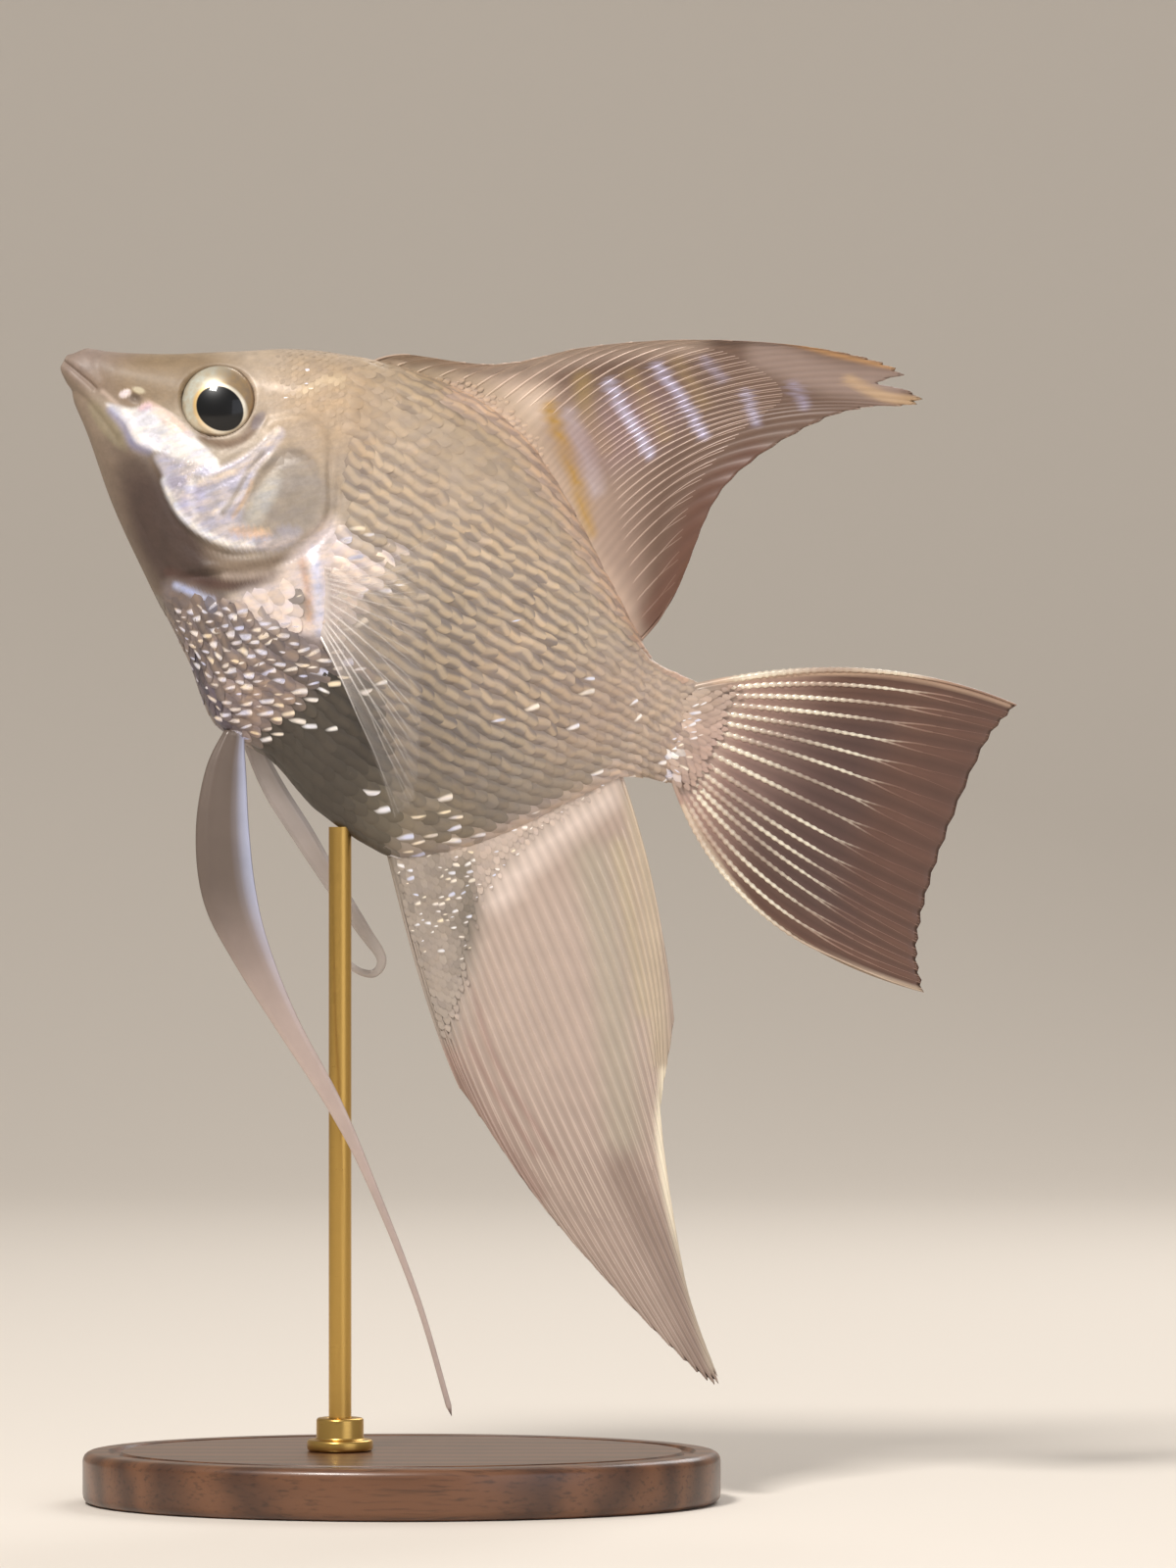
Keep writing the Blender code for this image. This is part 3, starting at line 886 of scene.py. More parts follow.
HALF_WIDTH = Profile((
    (-0.6, 0.5), (0, 1.5), (1, 2.2), (3, 2.8), (7, 3.8), (11, 4.7), (15, 5.4), (20, 6.1),
    (27, 6.6), (33, 6.6), (42, 5.8), (52, 4.3), (60, 3.1), (66, 2.2), (72, 1.2)))
FULLNESS = Profile(((-0.6, 0.9), (6, 0.82), (20, 0.85), (34, 1), (72, 1.1)))
BODY_START = -0.6
BODY_END = 72.0
HEAD_END = 38.0

GILL_LINE = (
    (22.6, 18.5), (24, 14), (26, 9), (28, 5.2), (29.9, 1.8), (30.3, -1.2), (28.9, -4.4),
    (25.8, -7.7), (22.3, -10.2), (19.6, -12.4), (17.4, -15.5))
GILL_COVER = (
    (19.6, 4.9), (22.4, 7.6), (25.3, 7.3), (27.3, 4.5), (29, 1.4), (29.3, -1.1), (27.4, -3.9),
    (24, -6.3), (20, -7.7), (16.7, -6.9), (16, -4.2), (17.8, 0))
TAIL_LINE = ((71.6, -7.5), (70.5, -2.6), (69.7, 0), (68.9, 3), (68.4, 7))
EYE_AT = (14.9, 4.6)
EYE_RADIUS = 3.7
EYE_HALF_DEPTH = 2.2
EYE_CENTRE_Y = 3.95
EYE_TURN_FORWARD = math.radians(12.0)
EYE_TURN_UP = math.radians(9.0)
EYE_SPREAD = 8.0


@dataclass
class BodyForm:
    """The body as smooth oval sections, with a table of arc length round each one."""

    samples: int = 240
    steps: int = 96
    tail_from: float = 60.0
    tail_past: float = 0.3
    stations: Array = field(init=False)
    lengths: dict[int, Array] = field(init=False)
    turns: Array = field(init=False)

    def __post_init__(self) -> None:
        """Measure each section from its widest line up to the back and down to the belly."""
        self.stations = np.linspace(BODY_START, BODY_END, self.samples)
        self.lengths = {}
        self.turns = np.zeros((2, self.samples, self.steps))
        share = np.linspace(0.0, 1.0, self.steps)
        for way in (-1, 1):
            turn = way * share * math.pi / 2
            a = np.repeat(self.stations[:, None], self.steps, 1)
            spots = self.section(a, np.broadcast_to(turn, a.shape))
            run = np.linalg.norm(np.diff(spots[..., 1:], axis=1), axis=2)
            arc = np.concatenate((np.zeros((self.samples, 1)), np.cumsum(run, 1)), 1)
            self.lengths[way] = arc[:, -1]
            self.turns[int(way > 0)] = [
                np.interp(share, row / row[-1], np.abs(turn)) for row in arc]

    @staticmethod
    def section(a: Array, turn: Array, side: float = 1.0) -> Array:
        """Return fish points at station a and angle turn round the section.

        Args:
            a: places along the axis.
            turn: angle from the widest line, towards the back where positive.
            side: the sign of y.

        Returns:
            Points (a, y, b), before the tail's end is slanted.
        """
        rise, flat = np.sin(turn), np.cos(turn)
        keel = KEEL(a)
        reach = np.where(rise > 0, BACK(a) - keel, keel - BELLY(a))
        y = side * HALF_WIDTH(a) * np.sign(flat) * np.abs(flat) ** FULLNESS(a)
        return np.stack((a, y, keel + reach * rise), -1)

    def slant(self, points: Array) -> Array:
        """Lean the tail's end to the line on which the tail fin starts.

        Args:
            points: fish points (a, y, b).

        Returns:
            The points, moved along the axis.
        """
        line = np.array(TAIL_LINE)
        end = np.interp(points[..., 2], line[:, 1], line[:, 0]) + self.tail_past
        share = smooth((points[..., 0] - self.tail_from) / (BODY_END - self.tail_from))
        moved = points.copy()
        moved[..., 0] += share * (end - BODY_END)
        return moved

    def surface(self, a: Array, turn: Array, side: float = 1.0) -> Array:
        """Return the body's surface points with the tail's end slanted."""
        return self.slant(self.section(a, turn, side))

    def normal(self, a: Array, turn: Array, side: float = 1.0) -> Array:
        """Return unit normals that point out of the body.

        Args:
            a: places along the axis.
            turn: angle round the section.
            side: the sign of y.

        Returns:
            One unit vector (a, y, b) for each point.
        """
        along = self.surface(a + 0.06, turn, side) - self.surface(a - 0.06, turn, side)
        round_it = self.surface(a, turn + 0.004, side) - self.surface(a, turn - 0.004, side)
        across = np.cross(round_it, along) * side
        return unit(across)

    def arc(self, a: Array, way: int) -> Array:
        """Return the section's length from the widest line to the back or the belly."""
        return np.interp(a, self.stations, self.lengths[way])

    def turn_at(self, a: Array, arc: Array) -> Array:
        """Find the angle that lies a signed length round the section.

        Args:
            a: places along the axis.
            arc: length from the widest line, positive towards the back.

        Returns:
            Angles, which run on past the crest where arc is longer than the section.
        """
        upper = np.where(arc < 0, 0, 1)
        whole = np.where(upper, self.arc(a, 1), self.arc(a, -1))
        share = np.abs(arc) / whole
        place = np.clip((a - BODY_START) / (BODY_END - BODY_START), 0, 1) * (self.samples - 1)
        low = np.clip(place.astype(int), 0, self.samples - 2)
        across = place - low
        spot = np.clip(share, 0, 1) * (self.steps - 1)
        left = np.clip(spot.astype(int), 0, self.steps - 2)
        t = spot - left
        first, second = (
            self.turns[upper, row, left] * (1 - t) + self.turns[upper, row, left + 1] * t
            for row in (low, low + 1))
        past = np.maximum(share - 1.0, 0.0) * whole / HALF_WIDTH(a)
        return (2 * upper - 1) * (first * (1 - across) + second * across + past)


BODY = BodyForm()


def eye_matrix(side: Side) -> Matrix:
    """Find where an eye's own frame sits in the frame's row coordinates.

    Args:
        side: the eye's side.

    Returns:
        Its place and turn, in metres.
    """
    turn = Matrix.Rotation(side.value * EYE_TURN_FORWARD, 4, 'Z')
    tilt = Matrix.Rotation(side.value * EYE_TURN_UP, 4, 'X')
    centre = to_row(np.array((EYE_AT[0], side.value * EYE_CENTRE_Y, EYE_AT[1])))
    return Matrix.Translation(centre) @ Matrix.Rotation(PITCH, 4, 'Y') @ turn @ tilt


# --- folds of the head

@dataclass(frozen=True)
class Fold:
    """A ridge, or a groove where the height is negative, along a side-view line."""

    route: Spots
    height: float
    half: float
    aside: float = 0.0
    fade: float = 0.15

    def lift(self, spots: Array) -> Array:
        """Measure the fold.

        Args:
            spots: (N, 2) side-view points.

        Returns:
            Its height at each of them in millimetres.
        """
        away, share = line_distance(spots, curve(self.route, 36))
        ends = smooth(np.minimum(share, 1 - share) / self.fade)
        return self.height * np.exp(-((away - self.aside) / self.half) ** 2) * ends


@dataclass(frozen=True)
class Plate:
    """A raised or sunken field with a soft step round its outline."""

    outline: Spots
    height: float
    soft: float

    def lift(self, spots: Array) -> Array:
        """Return the plate's height in millimetres at side-view spots."""
        return self.height * smooth(inside_depth(spots, ring_of(self.outline, 60)) / self.soft
                                    + 0.5)


@dataclass(frozen=True)
class Dot:
    """A round bump, or a pit where the height is negative."""

    at: tuple[float, float]
    height: float
    radius: float
    stretch: float = 1.0

    def lift(self, spots: Array) -> Array:
        """Return the dot's height in millimetres at side-view spots."""
        off = (spots - np.array(self.at)) / np.array((self.radius * self.stretch, self.radius))
        return self.height * np.exp(-(off ** 2).sum(-1))


GAPE = ((-0.9, 0.55), (0, 0.45), (1.5, 0.2), (3, -0.05), (4.1, -0.35))
CHEEK_EDGE = (
    (5.9, -0.9), (8, -1.7), (9.8, -2.8), (11.8, -3), (13.6, -4.3), (15.2, -5.7), (17.2, -6.9),
    (20, -7.6), (23, -7.3), (25.8, -6))
HEAD_FOLDS = (
    # mouth: cleft, lips, and the creases behind them
    Fold(GAPE, -0.3, 0.24, 0, 0.08),
    Fold(GAPE, 0.1, 0.45, 0.66, 0.1),
    Fold(GAPE, 0.1, 0.42, -0.62, 0.1),
    Fold(((0.9, 3.4), (2.3, 2.2), (3.4, 1.2), (4.3, 0.1), (4.7, -1)), -0.06, 0.42),
    Fold(((2.9, 3.9), (4.2, 2.4), (5, 0.9), (5.4, -0.6), (5.6, -1.8)), 0.05, 0.55),
    Fold(((0.6, -1.7), (2.4, -1.5), (4.3, -1.9), (6.6, -2.8), (9, -3.9)), -0.12, 0.3),
    Fold(((1.5, -2), (3.6, -2.8), (6, -4), (9.5, -6.2)), 0.14, 0.55),
    # nostril with its raised rim
    Dot((7.55, 0.95), 0.16, 0.75),
    Dot((7.6, 0.9), -0.55, 0.34, 1.3),
    # cheek bone under the eye and the edge of the cheek
    Fold(CHEEK_EDGE, 0.2, 0.55, 0.4),
    Fold(CHEEK_EDGE, -0.2, 0.4, -0.4),
    Fold(((10.2, 1.3), (12.6, 0.7), (15.2, 0.4), (17.6, 1), (19.2, 2.8), (19.7, 5), (19, 7)),
        -0.16, 0.34),
    # front and rear ridges of the cheek's rear bone
    Fold(((16.6, -5.6), (17.6, -2.8), (19.3, -0.4), (20.5, 2.2), (21.2, 5.2)), 0.22, 0.5),
    Fold(((17.2, -5.4), (18.3, -2.9), (20, -0.6), (21.1, 1.8), (21.8, 4.4)), -0.18, 0.4),
    Fold(((20.6, -6), (21.1, -3.6), (21.6, -1.2), (21.8, 1), (22.5, 3.2)), 0.18, 0.4),
    Fold(((21.4, -5.4), (21.9, -3.2), (22.3, -1), (22.5, 1.2), (23.4, 3.4), (25.6, 4),
        (27.4, 2.4)), -0.18, 0.45),
    Dot((24.8, -0.4), 0.28, 2.6, 0.9),
    # gill cover's free edge, the membrane behind it and the slit
    Plate(GILL_COVER, 0.24, 0.9),
    Fold(((26.2, 6.4), (28, 3.6), (29.5, 1.2), (29.7, -1.4), (27.8, -4.5), (24.2, -7),
        (20.2, -8.5)), -0.34, 0.36),
    Fold(((27.6, -6.2), (26, -7.6), (23.8, -9), (21, -10.4)), 0.22, 0.4),
    Fold(GILL_LINE[3:10], -0.48, 0.34, 0, 0.1),
    Fold(((18, -8.6), (21.5, -8.9), (24.8, -8), (27, -6.4)), -0.14, 0.3),
    Fold(((14, -7.6), (17.6, -9.6), (20.6, -10.2), (23.4, -9.4)), 0.12, 0.55),
    Fold(((12.5, -8.2), (16.4, -10.8), (19.6, -12.2)), -0.12, 0.35),
    # fleshy root of the pectoral fin
    Fold(((30.2, -3.2), (31.6, -5.4), (33.2, -7.8), (34.9, -10.2)), 0.55, 0.85, 0, 0.2),
    Fold(((29.2, -4), (30.5, -6.4), (32.2, -8.8), (33.8, -10.8)), -0.2, 0.45),
    # bony brow and the ridge before the back fin
    Fold(((9.6, 5.6), (12, 8.2), (15.4, 9.4), (18.6, 8.6)), 0.08, 0.9),
)
EYE_SOCKET = 3.42
EYE_LIP = 3.72
EYE_RIM = 3.95
EYE_RIM_HEIGHT = 0.08
SOCKET_PLAY = 0.7


def eye_lift(points: Array) -> Array:
    """Return how far to sink the skin behind each eye and raise a soft rim round it.

    Args:
        points: fish points (a, y, b) on the body's form.

    Returns:
        The lift in millimetres.
    """
    lift = np.zeros(len(points))
    row = to_row(points)
    for side in Side:
        local = np.array(eye_matrix(side).inverted())
        own = (row @ local[:3, :3].T + local[:3, 3]) / MM
        reach = np.hypot(own[:, 0], own[:, 2])
        out = own[:, 1] * side.value
        near = (reach < 8.0) & (out > -2.0)
        dome = EYE_HALF_DEPTH * np.sqrt(np.clip(1 - (reach / EYE_RADIUS) ** 2, 0, 1))
        rim = EYE_RIM_HEIGHT * np.exp(-((reach - EYE_RIM) / 0.5) ** 2)
        share = smooth((reach - EYE_SOCKET) / (EYE_LIP - EYE_SOCKET))
        lift = np.where(near, (dome - SOCKET_PLAY - out) * (1 - share) + rim * share, lift)
    return lift


# --- markings, painted light and painted shade

@dataclass(frozen=True)
class Mark:
    """A soft-edged marking, painted light or painted shade: a colour laid over what is below it.
    """

    shape: Spots
    colour: str
    strength: float = 1.0
    soft: float = 0.6
    half: float = 0.0
    pearl: float | None = None
    turn: float = 0.0

    def share(self, spots: Array) -> Array:
        """Return how strongly the marking shows at side-view spots.

        With half the shape is a line, and the marking a band along it. Two points are an
        oval's centre and radii, and more are a filled outline.

        Args:
            spots: (N, 2) side-view points.

        Returns:
            Strengths from 0 to 1.
        """
        if self.half:
            route = curve(self.shape, 8 * len(self.shape))
            depth = self.half - np.abs(line_distance(spots, route)[0])
        elif len(self.shape) == 2:
            lean = math.radians(self.turn)
            off = spots - np.array(self.shape[0])
            along = off[:, 0] * math.cos(lean) + off[:, 1] * math.sin(lean)
            across = off[:, 1] * math.cos(lean) - off[:, 0] * math.sin(lean)
            depth = 1.0 - np.hypot(along / self.shape[1][0], across / self.shape[1][1])
        else:
            depth = inside_depth(spots, ring_of(self.shape, 6 * len(self.shape)))
        return self.strength * smooth(depth / self.soft + 0.5)


# body tone by height, darkest low on the flank: partly the fish's own tone, partly painted shade
# on its lower side
BODY_TONES = (
    (-32, "#A99C90"), (-27, "#81776B"), (-17, "#82786D"), (-9, "#9B8F81"), (0, "#AEA08F"),
    (8, "#B6A490"), (18, "#AC987F"))
BODY_MARKS_AND_PAINTED_LIGHT = (
    # face: pinkish snout, golden forehead, and a dark throat that is partly its own tone and
    # partly painted shade on the head's underside
    Mark(((-1, 3), (1, 4), (6, 5.5), (9, 4), (8, 0), (5.5, -0.5), (3, -1), (0, -1.5)), "#88756A",
        0.9, 2, pearl=0.02),
    Mark(((9.5, 4.6), (6.4, 3.2)), "#877155", 0.95, 1, pearl=0, turn=35),
    # dark throat: its own darker tone, deepened as painted shade where the head's underside faces
    # away from the light
    Mark(((-1, -0.3), (5, -1.3), (9.5, -3), (14, -3.8), (16, -7), (20, -7.7), (25, -7),
        (28.6, -3.6), (30, -2), (29.6, -6), (26, -9.6), (22, -12.4), (17.6, -14.5), (10, -10),
        (3, -4)), "#857362", 0.95, 0.9, pearl=0.03),
    # darkest part of the throat: painted shade on the underside of the head
    Mark(((17.6, -9.6), (10, 3.2)), "#43322C", 0.95, 0.9, turn=-34),
    Mark(((6.6, -2.7), (2.9, 0.8)), "#93886C", 0.55, turn=-22),
    Mark(((4.6, -0.1), (7.5, -0.7)), "#C9B3A4", 0.6, 0.4, half=0.22),
    # cheek: the mirror-bright band under the eye
    Mark(((5.6, -0.9), (7.8, -0.2), (9, 0.7), (11, 1.4), (13.2, 1), (15.6, 0.3), (18, -0.5),
        (17.7, -1.7), (15.4, -2.7), (13, -2.3), (11.2, -2.7), (9.6, -2.7), (8, -1.7),
        (6.2, -1.2)), "#FBF9F8", 0.95, 0.5, pearl=0.5),
    Mark(((11.6, 0.75), (2.8, 0.6)), "#F6D9C6", 0.6, pearl=0.5, turn=-8),
    Mark(((6.2, -1.25), (8.2, -1.95), (9.7, -2.9), (11.4, -2.8)), "#A6B1EC", 0.5, 1.1, half=0.24,
        pearl=0.4),
    Mark(((13, -2.5), (15, -3.3)), "#85768A", 0.5, 0.8, half=0.26),
    # lower cheek: silver lenses between the folds
    Mark(((14, -2.2), (16.8, -1.4), (18.6, -0.4), (20.2, 2.2), (21.2, 5.2), (22.1, 4.8),
        (21.5, 1), (22.1, -2.2), (23, -4.1), (26.2, -3.8), (28.3, -2.4), (27.4, -4.4),
        (25.2, -5.9), (22.8, -6.9), (20, -7.2), (17.2, -6.6), (15.4, -5.5), (13.8, -4.1),
        (12.2, -3)), "#D3CFD6", 0.9, 0.7, pearl=0.65),
    Mark(((14.2, -4.6), (15.6, -5.7), (17.6, -6.7), (20.2, -7), (22.8, -6.7), (24.8, -5.6)),
        "#FFFFFF", 0.95, 0.6, half=0.28, pearl=0.6),
    Mark(((16.6, -3.2), (17.4, -4.8), (18.4, -5.9)), "#FFFFFF", 0.7, 0.8, half=0.3, pearl=0.6),
    Mark(((17.6, -4.9), (1.1, 1.5)), "#CFCDE6", 0.45, pearl=0.7),
    Mark(((15.2, -4.2), (1.2, 0.5)), "#9C8B98", 0.3, turn=40),
    Mark(((16, -3.1), (18.3, -1.9), (20, 0.4), (20.7, 2.6)), "#A1917C", 0.6, 0.35, half=0.24,
        pearl=0.2),
    Mark(((17.3, -3), (18.9, -1.4), (20.2, 0.9), (21, 3.4), (21.3, 5.2)), "#FDF4EA", 0.9, 0.35,
        half=0.26, pearl=0.7),
    Mark(((20, -4.6), (21.1, -2.9), (21.8, -1.2)), "#FBF3EC", 0.9, 0.35, half=0.3, pearl=0.7),
    Mark(((20.7, -4.4), (20.9, -2.2), (20.8, 0.2), (21.2, 2.4)), "#8A7C6B", 0.7, 0.35, half=0.26,
        pearl=0.2),
    Mark(((21.8, -4.2), (21.9, -2), (21.7, -0.4)), "#E9C9A0", 0.7, 0.3, half=0.22),
    # opercle: grey-green plate with a painted highlight on its bulge and a dark brow of painted
    # shade in the groove above it
    Mark(((22.4, -3.6), (22.2, 0.5), (23.2, 3.6), (25.6, 4), (28.2, 1.6), (28.6, -1.2),
        (27, -3.2), (24.6, -4.2)), "#9F958A", 0.85, 2.2, pearl=0.25),
    # painted highlight on the plate's bulge
    Mark(((23.5, -1.6), (0.9, 2.6)), "#CFCDC4", 0.75, 1.2, pearl=0.5),
    Mark(((27.2, -2.8), (1.3, 0.6)), "#B4B4CC", 0.35, turn=25),
    # dark brow: painted shade in the groove over the plate
    Mark(((21.9, 1.4), (22.5, 3.2), (24, 4.2), (25.8, 4), (27.2, 2.8)), "#877E76", 0.55, 0.9,
        half=0.34),
    Mark(((24, -4.7), (2, 0.5)), "#F1CDA6", 0.7, pearl=0.6, turn=25),
    # dark crescents behind the eye, painted shade in the groove round its socket (the bright arc
    # beyond them is drawn with the lower cheek)
    Mark(((15.2, 1), (17, 1.2), (18.4, 2.1), (19, 3.6), (18.9, 5)), "#77604D", 0.8, 0.6,
        half=0.42, pearl=0.1),
    Mark(((19.2, 5), (0.5, 1)), "#7E7884", 0.5),
    # nostril
    Mark(((7.6, 0.9), (0.75, 0.42)), "#7A6A5E", 0.85, 0.9, turn=20),
    Mark(((6.6, 0.8), (0.35, 0.6)), "#FFF0E6", 0.9, pearl=0.6, turn=-35),
    Mark(((8.95, 0.65), (0.35, 0.75)), "#F3D6D8", 0.85, pearl=0.6, turn=-35),
    Mark(((7.6, 1.75), (0.6, 0.3)), "#DCCFB0", 0.6, turn=15),
    # nape
    Mark(((24, 10), (4.6, 4.2)), "#B5966F", 0.5, 1.8),
    Mark(((21.2, 9.6), (22.2, 11.4), (23.8, 12.4)), "#EBD5B0", 0.4, 0.9, half=0.4, pearl=0.15),
    Mark(((15.6, 7.6), (18.4, 8.4), (20.6, 9.4)), "#E9D6C0", 0.6, 0.8, half=0.3, pearl=0.3),
    # dark slit under the gill cover and the pale fold above it
    Mark(((19, -12), (22.6, -11), (25.8, -9.6), (28.6, -7)), "#4E362E", 0.85, 0.6, half=0.55,
        pearl=0),
    Mark(((23.9, -9.5), (25.6, -8.7), (27.4, -7.4)), "#BFAEA3", 0.5, 0.7, half=0.3),
    # shoulder: bright field round the pectoral fin's root
    Mark(((28, -7.8), (28.8, -3.2), (30.2, 0.4), (32.4, -0.6), (35, -1), (37, 1.2), (36.8, -3),
        (36, -7.6), (35.6, -10.4), (30, -12.4), (25.6, -12.2), (26.2, -10.2)), "#F1E3DB", 0.9, 2,
        pearl=0.5),
    Mark(((31.6, -8.2), (1.5, 0.9)), "#817871", 0.8, pearl=0.2, turn=-20),
    Mark(((29.6, -4.6), (31.6, -6.8), (33.2, -9.2)), "#C99A78", 0.55, 0.7, half=0.3),
    Mark(((30.2, -3.2), (32.5, -6.3), (34.9, -10.2)), "#DDE1F4", 0.8, 0.7, half=0.42, pearl=0.5),
    # breast: dark ground for the sparkling scales
    Mark(((19, -13.2), (23.6, -11.6), (28, -11.4), (32, -11), (37.4, -9.4), (41, -11.2),
        (38, -13.4), (36.2, -18), (34.8, -21.6), (32, -23.6), (24, -19.2)), "#857872", 0.9, 1.2,
        pearl=0.45),
    Mark(((32.4, -18.6), (3.6, 3.4)), "#A18F86", 0.6, 1.4, pearl=0.6),
    Mark(((20.2, -12.8), (24, -12.3)), "#C9D6FA", 0.8, 0.6, half=0.3, pearl=0.6),
    Mark(((25, -18.2), (31.5, -22.9)), "#3E3A55", 0.6, 0.8, half=0.7),
    # belly: bare-looking olive flank over the gut
    Mark(((37, -12.6), (39.4, -11.4), (42.4, -12.4), (45.2, -15.6), (48.6, -19.6), (51.5, -23.4),
        (50, -26.6), (43, -26.4), (36, -24), (34.2, -21.8), (35.6, -17.4)), "#3F382F", 0.95, 1.8,
        pearl=0.03),
    Mark(((46, -19.2), (4.6, 2.4)), "#3B342D", 0.4, 1.6, turn=-42),
    Mark(((53.6, -20.8), (7, 4.2)), "#857A67", 0.6, 1.2),
    # tail stalk and the bases of the fins
    Mark(((66.6, 0), (6, 6)), "#B9A392", 0.6, 1.2),
    Mark(((60, -3), (4, 6)), "#A58F80", 0.5, 1.4),
    Mark(((52, -3.2), (4.6, 5)), "#B39E8C", 0.4, 1.4),
    Mark(((74, -0.5), (4.2, 6.4)), "#C2A598", 0.85, 1.4, pearl=0.3),
    # pale band along the body's edge over the lower fin: painted light where the edge curves away
    # into shade
    Mark(((66, -7), (64.6, -10.6), (62, -14.6), (59, -18.4), (55.6, -22)), "#D6C3B5", 0.7, 1.6,
        half=0.8, pearl=0.5),
    Mark(((66.8, -7.8), (65, -12.2), (63.2, -17.2), (62, -22.6)), "#E0CCBE", 0.8, 0.9, half=0.75,
        pearl=0.6),
    # white flashes on the tail stalk: painted glints
    Mark(((69.9, -2.7), (0.8, 0.35)), "#FFFFFF", 0.8, pearl=0.6, turn=40),
    Mark(((70.8, -4.6), (0.8, 0.35)), "#FBFAFF", 0.8, pearl=0.6, turn=40),
    Mark(((54.6, 10.6), (58.4, 7.8), (61.8, 5.2), (67, 4.4)), "#CFA48C", 0.5, 0.9, half=0.45),
    Mark(((34, 17), (40, 17.2), (46, 14.6), (52, 11.2), (58, 7.4)), "#D3B7A1", 0.75, 2.6,
        half=1.2, pearl=0.3),
    # scaly root of the lower fin, paler than the belly
    Mark(((58, -20), (62.6, -27), (64.6, -36), (68, -34), (68, -6), (64, -10)), "#C9B7AA", 0.85,
        2, pearl=0.3),
    Mark(((51, -24), (57, -30.6), (62, -36.6), (65, -38.6), (63.4, -33), (60.4, -28), (58, -23.4),
        (55, -22)), "#A4978B", 0.85, 2.4, pearl=0.3),
)
# painted glints: where scales carry a painted mirror flash, and where they stand looser and tilt
# more
PAINTED_GLINT_AND_TILT_MARKS = (
    Mark(((20, -13.4), (24, -11.8), (29, -11), (36, -9), (40.6, -11.4), (37.6, -14), (36.4, -18),
        (34.6, -21.4), (31.6, -22.6), (24, -18.4)), "#FFFFFF", 0.95, 1.2),
    Mark(((35.6, -12), (41, -11), (43.6, -18), (37, -19)), "#FFFFFF", 0.22, 3),
    Mark(((58, -5), (8, 7)), "#FFFFFF", 0.07, 0.9),
    Mark(((28, -8), (30.4, 0.5), (38, 0), (36, -10)), "#FFFFFF", 0.4, 3),
    Mark(((20, 8.6), (3.4, 2.6)), "#FFFFFF", 0.12, 1.2),
    Mark(((55, -24), (9, 5)), "#FFFFFF", 0.42, 0.9, turn=-35),
    Mark(((63.4, -17), (3, 11)), "#FFFFFF", 0.3, 0.9, turn=-20),
    Mark(((70, -1.6), (1.4, 4.4)), "#FFFFFF", 0.6, 0.8),
    Mark(((50.5, 0.8), (2.6, 2.2)), "#FFFFFF", 0.15, 0.8),
    Mark(((16.4, -4), (3.6, 1.5)), "#FFFFFF", 0.4, 0.8, turn=-35),
)


def body_colours(spots: Array) -> tuple[Array, Array]:
    """Return the markings and painted light and shade that skin and scales share.

    Args:
        spots: (N, 2) side-view points.

    Returns:
        Linear colours and pearliness from 0 to 1.
    """
    heights = [tone[0] for tone in BODY_TONES]
    tones = np.array([linear(tone[1]) for tone in BODY_TONES])
    colour = np.stack([np.interp(spots[:, 1], heights, tones[:, i]) for i in range(3)], -1)
    pearl = 0.06 + 0.16 * smooth((spots[:, 0] - 12.0) / 10.0)
    for mark in BODY_MARKS_AND_PAINTED_LIGHT:
        share = mark.share(spots)
        colour = mix(colour, linear(mark.colour), share)
        if mark.pearl is not None:
            pearl += (mark.pearl - pearl) * share
    return colour, pearl


# where scale crowns stand higher, and where each crest gets a painted highlight with painted
# shade beside it
RIDGE_RELIEF_AND_SHADING_MARKS = (
    Mark(((47.5, -3.6), (12.6, 13.4)), "#FFFFFF", 1, 0.9),
    Mark(((33, 4.6), (6, 5.2)), "#FFFFFF", 0.7, 1),
    Mark(((61, -2), (11, 7)), "#FFFFFF", 0.42, 0.9),
    Mark(((29, -16), (7, 5)), "#FFFFFF", 0.6, 0.9),
    Mark(((31, 15.4), (36, 16.8), (42, 16.4), (50, 12), (60, 5.6)), "#FFFFFF", 0.62, 2, half=2.2),
)


def strongest(marks: tuple[Mark, ...], spots: Array) -> Array:
    """Return the strongest of some markings at side-view spots."""
    return np.max([mark.share(spots) for mark in marks], axis=0)


# --- skin

